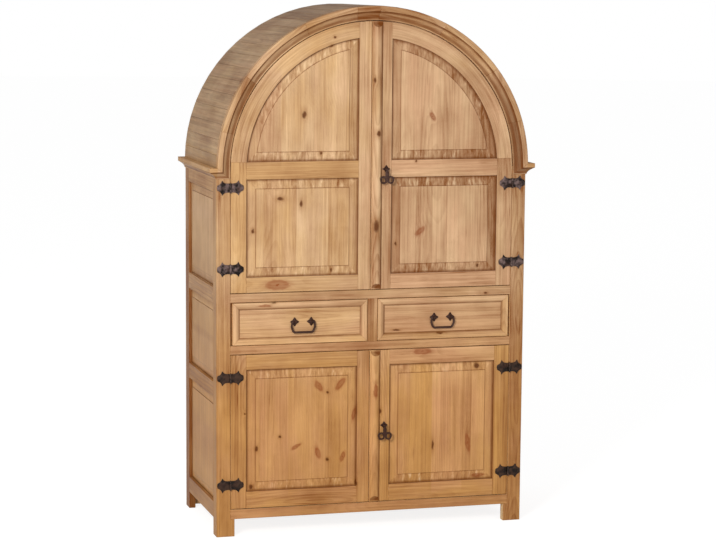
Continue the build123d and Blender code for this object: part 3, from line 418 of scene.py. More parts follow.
def patch_field(place_x, place_z):
    """How much darker and redder each place on the front is."""
    darker, redder = 0.0, 0.0
    for left, right, low, high, dark, red in PATCHES:
        inside = (place_x.between(*faded(left, right, PATCH_SIDE_FADE))
                  * place_z.between(*faded(low, high, PATCH_END_FADE)))
        darker, redder = inside * dark + darker, inside * red + redder
    return darker, redder


def knot_field(finish, spots, where, size=1.0):
    """How far a point is from the nearest spot, in half sizes of that spot."""
    nearest = None
    for x, z, half_w, half_h, *tilt in spots:
        middle = Vector((x * MM, 0, z * MM))
        spot_place = where
        if tilt and tilt[0]:
            turned = finish.node("ShaderNodeVectorRotate", {"rotation_type": "Y_AXIS"},
                                 {"Vector": where, "Center": middle, "Angle": math.radians(tilt[0])})
            spot_place = Direction(finish, turned.outputs[0])
        scale = Vector((1 / (half_w * size * MM), 0, 1 / (half_h * size * MM)))
        shift = -Vector((middle.x * scale.x, 0, middle.z * scale.z))
        away = spot_place.fitted(tuple(scale), tuple(shift)).length()
        nearest = away if nearest is None else nearest.least(away)
    return nearest


class PineBoard:
    """What the finish knows of a board at each point: strips, knots, rings and patterns."""

    def __init__(self, finish, knotty):
        self.finish = finish
        self.along, self.across, self.inward = finish.attributes("grain")
        self.tone, self.redness, self.seed = finish.attributes("board")
        self.strips, self.sunk = finish.attribute("strips"), finish.attribute("sunk")
        self.place = finish.place()
        self.x, self.y, self.z = self.place.parts()
        # the front has its own list of knots, so chance knots only fall elsewhere
        self.on_front = self.y.smooth(*FRONT_ENDS)
        self.shown = self.sunk.smooth(*PANEL_BACK)
        self.glue_strips()
        self.grow_knots(knotty)
        self.grow_rings()
        self.darker = self.z.smooth(*CROWN) * CROWN_DARKER
        if knotty:
            darker, redder = patch_field(self.x, self.z)
            self.redness = self.redness + redder * self.on_front
            self.darker = self.darker + darker * self.on_front
        flank = (self.x * self.x).smooth(FLANK_X ** 2, SIDE_FACE_X ** 2)
        self.redness = self.redness - flank * FLANK_LESS_RED

    def glue_strips(self):
        """Strips side by side in a panel, each with three chance numbers of its own."""
        join, noise = self.finish.join, self.finish.noise
        drift_place = join(self.along * STRIP_DRIFT_WAVES, self.seed * DRIFT_SEED, 0)
        drift = (noise(drift_place, 1.0, 0.0) - MEAN) * STRIP_DRIFT
        strip_place = (self.across + drift) / STRIP_WIDTH + self.seed * STRIP_SEED
        self.within = strip_place.fraction()
        number = strip_place.floor() * self.strips
        luck_place = join(number, self.seed * LUCK_SEED, self.redness * LUCK_REDNESS)
        self.luck = self.finish.chance(luck_place)
        edges = self.within.smooth(*GLUE_LEFT).most(self.within.smooth(*GLUE_RIGHT))
        self.glue_line = edges * self.strips

    def grow_knots(self, knotty):
        """How far a point is from a knot and from the reddish figure of a buried one."""
        finish = self.finish
        wobble = finish.noise(self.place, KNOT_WOBBLE_WAVES, output="Color") - (MEAN,) * 3
        loose_place = wobble.fitted((KNOT_WOBBLE, 0.0, KNOT_WOBBLE), self.place)
        cells_along, cells_across = CELL_WAVES
        cell_place = finish.join(self.along * cells_along,
                                 self.across * cells_across + self.seed * CELL_SHIFT,
                                 self.seed * CELL_SEED)
        distance, character = finish.cells({"voronoi_dimensions": "3D"},
                                           {"Vector": cell_place, "Scale": 1.0})
        barren = character.parts()[0].smooth(*BARREN_CELLS) * FAR
        wild = distance / (WILD_KNOT_SIZE + WILD_KNOT_SIZE * self.luck[1]) + barren
        if not knotty:
            self.knot, self.figure = wild, wild * WILD_FIGURE
            return
        behind = ((self.y - KNOT_DEPTH) * BEHIND_KNOTS).most(0)
        listed = knot_field(finish, KNOTS, loose_place, KNOT_SHOWS) + behind
        self.knot = listed.least(wild + self.on_front * FAR)
        self.figure = knot_field(finish, FIGURES, loose_place) + behind

    def grow_rings(self):
        """Growth rings about a pith behind the face, bent round knots."""
        join, noise = self.finish.join, self.finish.noise
        luck_a, luck_b, luck_c = self.luck
        bend_place = join(self.along * BEND_WAVES[0] + luck_a * BEND_LUCK[0],
                          self.across * BEND_WAVES[1] + luck_b * BEND_LUCK[1],
                          self.seed * BEND_SEED)
        bend_across, bend_inward, _ = noise(bend_place, output="Color").parts()
        pith_place = join(self.along * PITH_WAVES, self.seed * PITH_SEED + luck_a * PITH_LUCK[0],
                          luck_b * PITH_LUCK[1])
        pith = noise(pith_place, 1.0, 1.0)
        swell = ((self.knot * SWELL_FALL).exponent() * RING_SWELL
                 + (self.figure * self.figure * SWELL_FALL).exponent() * RING_SWELL)
        local = (self.within - 0.5) * STRIP_WIDTH * self.strips + self.across * (1 - self.strips)
        aside = local + (luck_b - MEAN) * PITH_ASIDE + (bend_across - MEAN) * BEND_ACROSS
        behind = (self.inward + PITH_DEPTH + luck_c * PITH_SPREAD
                  + (pith - MEAN) * PITH_WANDER + (bend_inward - MEAN) * BEND_INWARD)
        radius = (aside * aside + behind * behind).root() + swell
        ring = (radius / (RING_WIDTH + luck_a * RING_SPREAD)).fraction()
        self.late_wood = ring.between(*LATE_WOOD)
        self.ring_depth = RING_DARK + luck_c * luck_c * RING_DARK_SPREAD

    def pattern(self, name, beside=0.0):
        """One of the patterns that follow the grain; beside sets strips apart."""
        waves_along, waves_across, step, shift, detail, roughness, goes_in = GRAIN_PATTERNS[name]
        third = self.seed * step + (shift + beside)
        if goes_in:
            third = self.inward * waves_across + third
        where = self.finish.join(self.along * waves_along, self.across * waves_across, third)
        return self.finish.noise(where, 1.0, detail, roughness)


def tinge(board, patch, luck, amounts):
    """How strongly a board takes a tinge, by its redness, its strips' luck and its patches."""
    level, by_redness, by_strip, by_patch, most = amounts
    strength = (board.redness * by_redness + level + (luck - MEAN) * by_strip * board.strips
                + (patch - MEAN) * by_patch)
    return strength.share() * most


def pine(name, pale, deep, knotty, gloss):
    """Pine with growth rings, fibre, knots, dirty joints and rubbed edges, painted shade in its quirks
    and coves and painted light inside its open joints.
    """
    finish = Finish(name)
    board = PineBoard(finish, knotty)
    sunk, shown, strips = board.sunk, board.shown, board.strips
    luck_a, luck_b, luck_c = board.luck
    stained, eased, end_grain, wear_and_cool_light, moulded, reveal = [
        finish.attribute(name) for name in ("stained", "eased", "end_grain", "wear_and_cool_light", "moulded", "reveal")]
    fibre, stripe, band, patch, tips, streak = [
        board.pattern(name) for name in ("fibre", "stripe", "band", "patch", "tips", "streak")]
    cloud = board.pattern("cloud", luck_a * CLOUD_LUCK)
    dashes = board.pattern("dashes").smooth(*DASH_EDGE)
    smudge = finish.noise(board.place, SMUDGE_WAVES, 3.0, 0.6)

    # the base colour: deeper towards the bottom, paler towards the top, rosy and ochre in places, darker
    # in its late wood
    base = finish.mix(board.z.smooth(DEEP_BELOW, PALE_ABOVE), deep, pale)
    base = finish.mix(tinge(board, patch, luck_b, ROSE_TINGE), base, ROSE)
    base = finish.mix(tinge(board, patch, luck_a, OCHRE_TINGE), base, OCHRE)
    bevel_stain = stained * sunk.smooth(*BEVEL_BEGINS) * shown
    darkness = (board.late_wood * board.ring_depth * (1 + strips * PANEL_RING)
                + (stripe - MEAN) * (STRIPE + strips * PANEL_STRIPE)
                + (band - MEAN) * (BAND + strips * PANEL_BAND)
                + (fibre - MEAN) * FIBRE + dashes * DASH
                + (cloud - MEAN) * CLOUD + (smudge - MEAN) * SMUDGE
                + board.darker + bevel_stain - board.tone
                + (luck_c - MEAN) * STRIP_TONE * strips + board.glue_line * GLUE_LINE
                + end_grain * ((tips - END_LEVEL) * END_TIPS + END_DARKER))
    base = finish.mix((darkness * SHADE_GAIN + SHADE_REST).share(), base, LATE_BROWN)
    pale_tips = end_grain * tips.smooth(*CREAM_TIPS) * cloud.smooth(*CREAM_CLOUDS) * CREAM_MOST
    base = finish.mix(pale_tips, base, CREAM)

    # reddish figure, knots with a dark heart and a thin rim
    knot, figure = board.knot, board.figure
    figure_rings = (figure * FIGURE_RINGS + stripe * FIGURE_GRAIN).fraction().smooth(*FIGURE_RING_EDGE)
    halo = (figure * figure * figure * figure * FIGURE_FALL).exponent() * FIGURE_MOST
    base = finish.mix(halo * (FIGURE_LEVEL + figure_rings * FIGURE_RING), base, FIGURE_BROWN)
    base = finish.mix((knot * knot * GLOW_FALL).exponent() * GLOW, base, KNOT_GLOW)
    heart = knot.smooth(*HEART_EDGE)
    base = finish.mix(heart * HEART, base, KNOT_HEART)
    base = finish.mix(knot.between(*RIM_ZONE) * RIM, base, KNOT_RIM)

    # grey weathering where a board has it; on the upper right panels the grey is painted cooler light
    base = finish.mix((wear_and_cool_light * (GREY_LEVEL + (streak - MEAN) * GREY_STREAK)).share(), base, GREYED)

    # old stain in the hollow of the arch trim, low down on the right
    old_stain = board.x.smooth(*OLD_STAIN_ASIDE) * board.z.between(*OLD_STAIN_HEIGHTS)
    stain = moulded.between(*HOLLOW) * old_stain * (OLD_STAIN_LEVEL + streak * OLD_STAIN_STREAK)
    base = finish.mix(stain, base, OLD_STAIN)

    # wax and dirt gathered in joints, quirks, coves and on eased edges, and painted shade in the quirks
    # and coves
    quirk = (sunk.smooth(*PANEL_GROOVE) * shown).most(sunk.between(*FIELD_STEP) * FIELD_STEP_DIRT_AND_SHADE)
    cove = (moulded.between(*INNER_COVE) + moulded.between(*MIDDLE_STEP) * MIDDLE_DIRT_AND_SHADE
            + moulded.between(*OUTER_LINE) * OUTER_LINE_DARKENING)
    darkening_varies = finish.noise(board.place, DARKENING_WAVES, 3.0) * DARKENING_SPREAD + DARKENING_LEVEL
    dirt_and_shade = (quirk * QUIRK_DIRT_AND_SHADE + eased * EASED_DIRT_AND_SCOOP_SHADE * (1 - wear_and_cool_light) + cove * COVE_DIRT_AND_SHADE) * darkening_varies
    base = finish.mix(dirt_and_shade.least(MOST_DIRT_AND_SHADE), base, DIRT_AND_SHADE)
    # painted light on the faces inside the open joints, dirt and painted shade on the faces round the
    # panels
    base = finish.mix(reveal.most(0) * GAP_LIGHT_SHARE, base, GAP_PAINTED_LIGHT)
    base = finish.mix((reveal * -PANEL_EDGE_DIRT_AND_SHADE).most(0), base, DIRT_AND_SHADE)

    relief = board.late_wood * LATE_WOOD_UP + fibre * FIBRE_UP + heart * KNOT_UP
    bump = finish.bump(relief, *GRAIN_BUMP)
    bump = finish.bump(board.pattern("planing"), *PLANING_BUMP, under=bump)
    rough = (board.late_wood * LATE_WOOD_ROUGH + gloss + (cloud - MEAN) * CLOUD_ROUGH
             + heart * KNOT_ROUGH)
    return finish.surface({"Base Color": base, "Roughness": rough, "Normal": bump,
                           "Specular IOR Level": WAX_SHEEN})


# ---------- how the iron looks ----------

IRON_DARK, IRON_SHADED_LOW, IRON_LIT_HIGH = colour(24, 16, 12), colour(66, 47, 36), colour(114, 94, 90)
IRON_RUST, IRON_HELD, IRON_EDGE = colour(72, 46, 34), colour(60, 32, 20), colour(108, 92, 86)
DENT_WAVES, BLOTCH_WAVES, RUST_WAVES, GRIT_WAVES = 150, 60, 33, 420
PAINTED_LIGHT_HEIGHTS = (700 * MM, 1000 * MM)                 # the upper ironwork is painted brighter, as if better lit
BLOTCH_EDGE, RUST_EDGE, RUST_MOST = (0.38, 0.66), (0.5, 0.72), 0.5
HELD_BROWN, EDGE_BRIGHT, HELD_EDGE = 0.8, 0.4, -0.2
DENT_BUMP, GRIT_BUMP = (1.2 * MM, 0.8), (0.3 * MM, 0.5)
IRON_ROUGH, BLOTCH_ROUGH, DENT_ROUGH = 0.42, 0.3, 0.1
IRON_METAL, HELD_METAL, IRON_SHEEN = 0.35, -0.25, 0.2


def forged_iron():
    """Hammered iron, brown in rusty patches and where hands touch it, painted brighter on its edges as a
    highlight and higher up as if better lit.
    """
    finish = Finish("wrought_iron")
    place = finish.place()
    handled, eased = finish.attribute("handled"), finish.attribute("eased")
    dent, _ = finish.cells({"feature": "SMOOTH_F1"},
                           {"Vector": place, "Scale": DENT_WAVES, "Smoothness": 0.7})
    blotch = finish.noise(place, BLOTCH_WAVES, 3.0)
    rust = finish.noise(place, RUST_WAVES).smooth(*RUST_EDGE) * RUST_MOST
    # painted light: brighter higher up, darker and browner lower down
    painted_light = finish.mix(place.parts()[2].smooth(*PAINTED_LIGHT_HEIGHTS), IRON_SHADED_LOW, IRON_LIT_HIGH)
    base = finish.mix(blotch.smooth(*BLOTCH_EDGE), IRON_DARK, painted_light)
    base = finish.mix(rust, base, IRON_RUST)
    base = finish.mix(handled * HELD_BROWN, base, IRON_HELD)
    # painted highlight on the eased edges, weaker on handled pieces
    base = finish.mix(eased * (handled * HELD_EDGE + EDGE_BRIGHT), base, IRON_EDGE)
    bump = finish.bump(dent, *DENT_BUMP)
    bump = finish.bump(finish.noise(place, GRIT_WAVES, 3.0), *GRIT_BUMP, under=bump)
    rough = (blotch - MEAN) * BLOTCH_ROUGH + IRON_ROUGH + dent * DENT_ROUGH
    return finish.surface({"Base Color": base, "Roughness": rough, "Normal": bump,
                           "Metallic": handled * HELD_METAL + IRON_METAL,
                           "Specular IOR Level": IRON_SHEEN})


FINISHES = {
    "waxed_pine": pine("waxed_pine", colour(236, 201, 157), colour(216, 164, 106), True, 0.46),
    "unfinished_pine": pine("unfinished_pine", colour(226, 192, 146), colour(222, 184, 134), False, 0.62),
    "wrought_iron": forged_iron(),
}


# ---------- boards and ironwork dressed from the solids ----------

def new_object(name, data):
    """Object with this data, put into the scene."""
    thing = bpy.data.objects.new(name, data)
    bpy.context.scene.collection.objects.link(thing)
    return thing


def separate_pieces(mesh):
    """Corner triples of each closed piece of a mesh, which lists its pieces one after another."""
    corner = [vertex.co.copy() for vertex in mesh.vertices]
    key = [tuple(round(c / MERGE) for c in co) for co in corner]
    pieces, piece, waiting = [], [], {}
    for polygon in mesh.polygons:
        ring = list(polygon.vertices)
        piece.append([(key[i], corner[i]) for i in ring])
        for i, j in zip(ring, ring[1:] + ring[:1]):
            edge, back = (key[i], key[j]), (key[j], key[i])
            if waiting.get(back, 0):
                waiting[back] -= 1
                if not waiting[back]:
                    del waiting[back]
            else:
                waiting[edge] = waiting.get(edge, 0) + 1
        if not waiting:
            pieces.append(piece)
            piece = []
    return pieces


def eased_solid(triangles, ease):
    """One piece with its doubles merged, its flats whole and its sharp edges eased."""
    work = bmesh.new()
    made = {}
    for triangle in triangles:
        ring = []
        for key, co in triangle:
            if key not in made:
                made[key] = work.verts.new(co)
            ring.append(made[key])
        if len(set(ring)) == len(ring):
            try:
                work.faces.new(ring)
            except ValueError:
                pass
    bmesh.ops.dissolve_limit(work, angle_limit=FLAT_TURN, verts=work.verts, edges=work.edges)
    flag = work.faces.layers.float.new("eased")
    work.normal_update()
    sharp = [edge for edge in work.edges
             if len(edge.link_faces) == 2 and edge.calc_face_angle(0) > SHARP_TURN]
    cut = bmesh.ops.bevel(work, geom=sharp, offset=ease, offset_type="OFFSET", segments=1,
                          profile=0.5, affect="EDGES", clamp_overlap=True)
    for face in cut["faces"]:
        face[flag] = 1.0
    bmesh.ops.triangulate(work, faces=[face for face in work.faces if len(face.verts) > 4])
    work.normal_update()
    work.verts.index_update()
    return work


def grain_axes(node, low, high, middle):
    """Along, across and depth of the grain for one board."""
    kind = "long"
    for word, way in GRAIN_OF.items():
        if node.endswith(word):
            kind = way
    around = math.atan2(middle.z - SPRING_Z, middle.x)
    radial = Vector((math.cos(around), 0, math.sin(around)))
    tangent = Vector((-math.sin(around), 0, math.cos(around)))
    if kind == "arch":
        return tangent, radial, Vector((0, 1, 0))
    if kind == "stave":
        return Vector((0, 1, 0)), tangent, radial
    if kind in GRAIN_ALONG:
        return GRAIN_ALONG[kind]
    size = high - low
    axes = sorted(((size[i], i) for i in range(3)), reverse=True)
    return tuple(Vector([1.0 if i == axis else 0.0 for i in range(3)]) for _, axis in axes)


BEHIND_TONGUE = 2.4              # highest panel level
INNER_SIDE = 0.56                # moulding place at which the clean outer side ends
# where the cover strips and drawer mouldings start to darken with dirt and painted shade, and how fast
STRIP_DARK_FROM, STRIP_DIRT_AND_SHADE = 0.6, 0.75
DRAWER_DARK_FROM, DRAWER_DIRT_AND_SHADE = 0.5, 0.52
EDGE_LIP = 2 * MM                # depth at which a door's edges round its panels begin
FACING_OUT = 0.3                 # faces that turn this far to the front or back are no edges


def panel_level(node, co):
    """0 on a panel's field, 1 at the top of its bevel, 2 down at its tongue, more behind."""
    if node.endswith("side_panels"):
        field, top, tongue = PANEL_DEPTHS["side"]
        depth = SIDE_FACE_X - abs(co.x)
    else:
        field, top, tongue = PANEL_DEPTHS["door"]
        depth = co.y - FRONT_Y
    if depth <= top:
        return max(0.0, (depth - field) / (top - field))
    return min(BEHIND_TONGUE, 1 + (depth - top) / (tongue - top))


def moulding_place(node, co):
    """0 at the outer edge of a moulding, 1 at its inner edge, 0 on plain boards."""
    if node == "side_cornices":
        return (CORNICE_TOP - co.z) / CORNICE_HEIGHT
    if node == "arch_trim":
        reach = math.hypot(co.x, co.z - SPRING_Z) if co.z > SPRING_Z else abs(co.x)
        return (TRIM_OUT - reach) / TRIM_WIDTH
    # cover strips and drawer mouldings are clean outside and darkened along their inner side with dirt
    # and painted shade
    if node.endswith("astragal"):
        share = (co.x - ASTRAGAL_LEFT) / ASTRAGAL_WIDTH
        return INNER_SIDE + max(0.0, share - STRIP_DARK_FROM) * STRIP_DIRT_AND_SHADE
    if node.endswith("drawer_moulding"):
        across = DRAWER_HALF_W - abs(abs(co.x) - DRAWER_MIDDLE_X)
        up = DRAWER_HALF_H - abs(co.z - DRAWER_MIDDLE_Z)
        reach = min(across, up) / DRAWER_MOULD_W
        return INNER_SIDE + max(0.0, reach - DRAWER_DARK_FROM) * DRAWER_DIRT_AND_SHADE
    return 0.0


def edge_kind(node, facing, place):
    """1 on edges inside the open joints, which are painted light, -1 on the edges round a panel, painted
    with dirt and shade, 0 elsewhere.
    """
    depth = place.y - FRONT_Y
    if (not node.endswith(FRONT_BOARDS) or abs(facing) > FACING_OUT or depth > REBATE_DEPTH
            or abs(place.x) > FLANK_X):
        return 0.0
    return -1.0 if node.endswith(DOOR_BOARDS) and EDGE_LIP < depth < TONGUE_MIDDLE else 1.0


def grain_place(co, middle, axes, start, curved):
    """A corner's place along, across and into its board's grain."""
    along, across, inward = axes
    away = co - middle
    if curved:
        turn = math.atan2(co.z - SPRING_Z, abs(co.x))
        reach = math.hypot(co.x, co.z - SPRING_Z)
        return (turn * TRIM_OUT + start, reach - TRIM_OUT, away.dot(inward))
    return (away.dot(along) + start, away.dot(across), away.dot(inward))


def board_mark(node, number, luck):
    """Tone, redness and seed of one board of a node, and where its grain starts."""
    shared_tone, shared_redness, _ = NODE_TONES.get(node, PLAIN_NODE)
    start = luck.uniform(0, GRAIN_START_SPREAD)
    tone = shared_tone + luck.gauss(0, TRIM_TONE_SPREAD if node == "arch_trim" else TONE_SPREAD)
    share = TONED_REDNESS_SHARE if shared_tone else 1
    redness = shared_redness + luck.uniform(-REDNESS_SPREAD, REDNESS_SPREAD) * share
    given = BOARD_TONES.get(node, [])
    if number < len(given):
        tone, redness = given[number]
    return (tone, redness, luck.random()), start


CORNER_VECTORS, CORNER_NUMBERS = ("grain", "board"), ("sunk", "moulded")
FACE_NUMBERS = ("eased", "end_grain", "reveal")
SCOOPED_DIRT_AND_SHADE = 4.0               # the scooped ends of the cover strips carry dirt and painted shade all over
END_GRAIN, BEVEL_END_GRAIN = 1.0, 0.75
# how far a face turns up or down on a scooped end, and towards the grain on a bevel or an end
SCOOP_TURN, BEVEL_TURN, END_TURN = 0.15, 0.05, 0.6


def dressed_wood(node, thing, slot, luck):
    """The boards of one node, each with its own grain, tone and eased edges."""
    is_panel, is_curved = node.endswith(("panel", "panels")), node.endswith(CURVED)
    marks = {name: [] for name in CORNER_VECTORS + CORNER_NUMBERS + FACE_NUMBERS}
    vertices, faces = [], []
    for number, triangles in enumerate(separate_pieces(thing.data)):
        work = eased_solid(triangles, PANEL_EASE if is_panel else EASE)
        points = [vertex.co for vertex in work.verts]
        low = Vector([min(p[i] for p in points) for i in range(3)])
        high = Vector([max(p[i] for p in points) for i in range(3)])
        axes = grain_axes(node, low, high, sum(points, Vector()) / len(points))
        mark, start = board_mark(node, number, luck)
        first, middle = len(vertices), (low + high) / 2
        for co in points:
            vertices.append(tuple(co))
            marks["grain"].append(grain_place(co, middle, axes, start, is_curved))
            marks["board"].append(mark)
            marks["sunk"].append(panel_level(node, co) if is_panel else 0.0)
            marks["moulded"].append(moulding_place(node, co))
        flag = work.faces.layers.float["eased"]
        for face in work.faces:
            faces.append([first + vertex.index for vertex in face.verts])
            scooped = node.endswith("astragal") and abs(face.normal.z) > SCOOP_TURN
            ends = 0.0 if is_curved else abs(face.normal.dot(axes[0]))
            bevel_end = BEVEL_END_GRAIN if is_panel and ends > BEVEL_TURN else 0.0
            # the scooped ends take the eased edges' darkening many times over, as dirt and painted shade
            marks["eased"].append(SCOOPED_DIRT_AND_SHADE if scooped else face[flag])
            marks["end_grain"].append(END_GRAIN if ends > END_TURN else bevel_end)
            marks["reveal"].append(edge_kind(node, face.normal.y, face.calc_center_median()))
        work.free()
    mesh = bpy.data.meshes.new(node + "_boards")
    mesh.from_pydata(vertices, [], faces)
    for name in CORNER_VECTORS:
        layer = mesh.attributes.new(name, "FLOAT_VECTOR", "POINT")
        layer.data.foreach_set("vector", [c for value in marks[name] for c in value])
    for name in CORNER_NUMBERS + FACE_NUMBERS:
        layer = mesh.attributes.new(name, "FLOAT", "FACE" if name in FACE_NUMBERS else "POINT")
        layer.data.foreach_set("value", marks[name])
    for name, value in (("strips", 1.0 if is_panel else 0.0),
                        ("wear_and_cool_light", NODE_TONES.get(node, PLAIN_NODE)[2]),
                        ("stained", BEVEL_STAIN.get(node, 0.0))):
        layer = mesh.attributes.new(name, "FLOAT", "POINT")
        layer.data.foreach_set("value", [value] * len(vertices))
    return finished(node + "_boards", mesh, slot, WOOD_CREASE)


def dressed_iron(node, thing, slot):
    """Ironwork of one node with its edges eased."""
    vertices, faces, eased = [], [], []
    for triangles in separate_pieces(thing.data):
        work = eased_solid(triangles, IRON_EASE)
        first = len(vertices)
        flag = work.faces.layers.float["eased"]
        vertices += [tuple(vertex.co) for vertex in work.verts]
        for face in work.faces:
            faces.append([first + vertex.index for vertex in face.verts])
            eased.append(face[flag])
        work.free()
    mesh = bpy.data.meshes.new(node + "_forged")
    mesh.from_pydata(vertices, [], faces)
    mesh.attributes.new("eased", "FLOAT", "FACE").data.foreach_set("value", eased)
    handled = [1.0 if node.endswith(HANDLED) else 0.0] * len(vertices)
    mesh.attributes.new("handled", "FLOAT", "POINT").data.foreach_set("value", handled)
    return finished(node + "_forged", mesh, slot, IRON_CREASE)


def finished(name, mesh, slot, crease):
    """Object from a mesh, smooth on curves and crisp where faces turn by more than crease."""
    if not mesh.materials:
        mesh.materials.append(FINISHES[slot])
    mesh.validate()
    mesh.shade_smooth()
    mesh.set_sharp_from_angle(angle=math.radians(crease))
    return new_object(name, mesh)


body_of = {node: body for body, nodes in frame["record"]["behaviour"]["bodies"].items()
           for node in nodes}
slot_of = {part["node"]: part["material_slot"] for part in frame["record"]["subparts"]}
for order, node in enumerate(sorted(slot_of)):
    slot = slot_of[node]
    if slot == "wrought_iron":
        piece = dressed_iron(node, frame["nodes"][node], slot)
    else:
        piece = dressed_wood(node, frame["nodes"][node], slot, random.Random(FIRST_SEED + order))
    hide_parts(node)
    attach(piece, body_of[node])


# ---------- nails ----------

HEAD_SEGMENTS, HEAD_RINGS = 9, 6
SMALLEST_HEAD, LARGEST_HEAD = 0.85, 1.15


def nail_tree():
    """Geometry nodes that set a hand-made nail head on every point of a mesh."""
    tree = bpy.data.node_groups.new("nail_heads", "GeometryNodeTree")
    face = tree.interface
    face.new_socket("Geometry", in_out="INPUT", socket_type="NodeSocketGeometry")
    inputs = {}
    for name, kind in (("Head Radius", "NodeSocketFloat"), ("Head Rise", "NodeSocketFloat"),
                       ("Seed", "NodeSocketInt"), ("Finish", "NodeSocketMaterial")):
        inputs[name] = face.new_socket(name, in_out="INPUT", socket_type=kind).identifier
    face.new_socket("Geometry", in_out="OUTPUT", socket_type="NodeSocketGeometry")

    def add(*wanted):
        return add_node(tree, *wanted).outputs

    given = add("NodeGroupInput")
    ball = add("GeometryNodeMeshUVSphere", {}, {"Segments": HEAD_SEGMENTS, "Rings": HEAD_RINGS})
    size = add("ShaderNodeCombineXYZ", {}, (given["Head Radius"], given["Head Radius"],
                                            given["Head Rise"]))
    head = add("GeometryNodeTransform", {}, {"Geometry": ball["Mesh"], "Scale": size[0]})
    facing = add("GeometryNodeInputNamedAttribute", {"data_type": "FLOAT_VECTOR"}, {"Name": "facing"})
    turn = add("FunctionNodeAlignRotationToVector", {"axis": "Z"}, {"Vector": facing["Attribute"]})
    vary = add("FunctionNodeRandomValue", {"data_type": "FLOAT"},
               {2: SMALLEST_HEAD, 3: LARGEST_HEAD, "Seed": given["Seed"]})
    placed = add("GeometryNodeInstanceOnPoints", {},
                 {"Points": given["Geometry"], "Instance": head["Geometry"], "Rotation": turn[0],
                  "Scale": vary[1]})
    real = add("GeometryNodeRealizeInstances", {}, {"Geometry": placed["Instances"]})
    coated = add("GeometryNodeSetMaterial", {}, {"Geometry": real[0], "Material": given["Finish"]})
    add("NodeGroupOutput", {}, {0: coated[0]})
    return tree, inputs


NAIL_TREE, NAIL_INPUTS = nail_tree()


def nails(name, spots, radius, rise, seed, body):
    """Nail heads on one body; each spot is a place and the way its head faces."""
    cloud = bpy.data.meshes.new(name + "_spots")
    cloud.from_pydata([place for place, _ in spots], [], [])
    layer = cloud.attributes.new("facing", "FLOAT_VECTOR", "POINT")
    layer.data.foreach_set("vector", [c for _, way in spots for c in way])
    carrier = new_object(name + "_spots", cloud)
    modifier = carrier.modifiers.new("nail_heads", "NODES")
    modifier.node_group = NAIL_TREE
    for label, given in (("Head Radius", radius), ("Head Rise", rise), ("Seed", seed),
                         ("Finish", FINISHES["wrought_iron"])):
        modifier[NAIL_INPUTS[label]] = given
    graph = bpy.context.evaluated_depsgraph_get()
    mesh = bpy.data.meshes.new_from_object(carrier.evaluated_get(graph))
    bpy.data.objects.remove(carrier)
    mesh.name = name
    piece = finished(name, mesh, "wrought_iron", NAIL_CREASE)
    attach(piece, body)


HINGE_X = 556 * MM
HINGE_HEIGHTS = {"upper": (1024 * MM, 1330 * MM), "lower": (199 * MM, 611 * MM)}
LEAF_FACE = FRONT_Y - 2.5 * MM
LEAF_NAILS = [(15 * MM, 11 * MM), (15 * MM, -11 * MM), (37 * MM, 0)]   # away from the pin, and up
LEAF_NAIL_RADIUS, LEAF_NAIL_RISE = 2.6 * MM, 1.1 * MM
DOOR_NAIL_SEED, FRAME_NAIL_SEED, BACK_NAIL_SEED = 3, 5, 7
FORWARD, BACKWARD = (0, -1, 0), (0, 1, 0)


def leaf_spots(side, way, heights):
    """Nail places on hinge leaves: side of the cabinet, and way out or in from the pin."""
    return [((side * (HINGE_X + way * u), LEAF_FACE, z + v), FORWARD)
            for z in heights for u, v in LEAF_NAILS]


cabinet_spots = []
for side, side_name in ((1, "right"), (-1, "left")):
    for level, heights in HINGE_HEIGHTS.items():
        cabinet_spots += leaf_spots(side, 1, heights)
        nails("%s_%s_leaf_nails" % (level, side_name), leaf_spots(side, -1, heights),
              LEAF_NAIL_RADIUS, LEAF_NAIL_RISE, DOOR_NAIL_SEED, "%s_%s_door" % (level, side_name))
nails("frame_leaf_nails", cabinet_spots, LEAF_NAIL_RADIUS, LEAF_NAIL_RISE, FRAME_NAIL_SEED, "cabinet")

BACK_FACE = 563 * MM + FRONT_Y
PLANKS, PLANK_SPAN = 12, 2 * 594.2 * MM
PLANK_NAIL_SHARES = (0.22, 0.78)
BACK_NAIL_HEIGHTS = [40 * MM, 100 * MM, 730 * MM, 1364 * MM]
BACK_NAIL_RADIUS, BACK_NAIL_RISE = 3.0 * MM, 0.8 * MM
RIB_NAIL_RADIUS = 563 * MM
NAIL_ASIDE, NAIL_UP, NAIL_PLACES_SEED = 3, 4, 8        # how far nails stray, in millimetres
luck = random.Random(NAIL_PLACES_SEED)
back_spots = []
for plank in range(PLANKS):
    left = -PLANK_SPAN / 2 + plank * PLANK_SPAN / PLANKS
    for share in PLANK_NAIL_SHARES:
        x = left + share * PLANK_SPAN / PLANKS + luck.uniform(-NAIL_ASIDE, NAIL_ASIDE) * MM
        for z in BACK_NAIL_HEIGHTS:
            back_spots.append(((x, BACK_FACE, z + luck.uniform(-NAIL_UP, NAIL_UP) * MM), BACKWARD))
        if abs(x) < RIB_NAIL_RADIUS:
            top = SPRING_Z + math.sqrt(RIB_NAIL_RADIUS ** 2 - x ** 2)
            back_spots.append(((x, BACK_FACE, top), BACKWARD))
nails("back_nails", back_spots, BACK_NAIL_RADIUS, BACK_NAIL_RISE, BACK_NAIL_SEED, "cabinet")


# ---------- floor, light and camera ----------

FLOOR_RADIUS, FLOOR_SEGMENTS, FLOOR_UNDER = 40.0, 96, 0.5 * MM
FLOOR_LIT, FLOOR_SEEN, FLOOR_GLOW = 0.80, 0.36, 0.84
ROOM_LIGHT = 0.42
WHITE = (1.0, 1.0, 1.0)
AIM = (0, -0.2, 1.0)
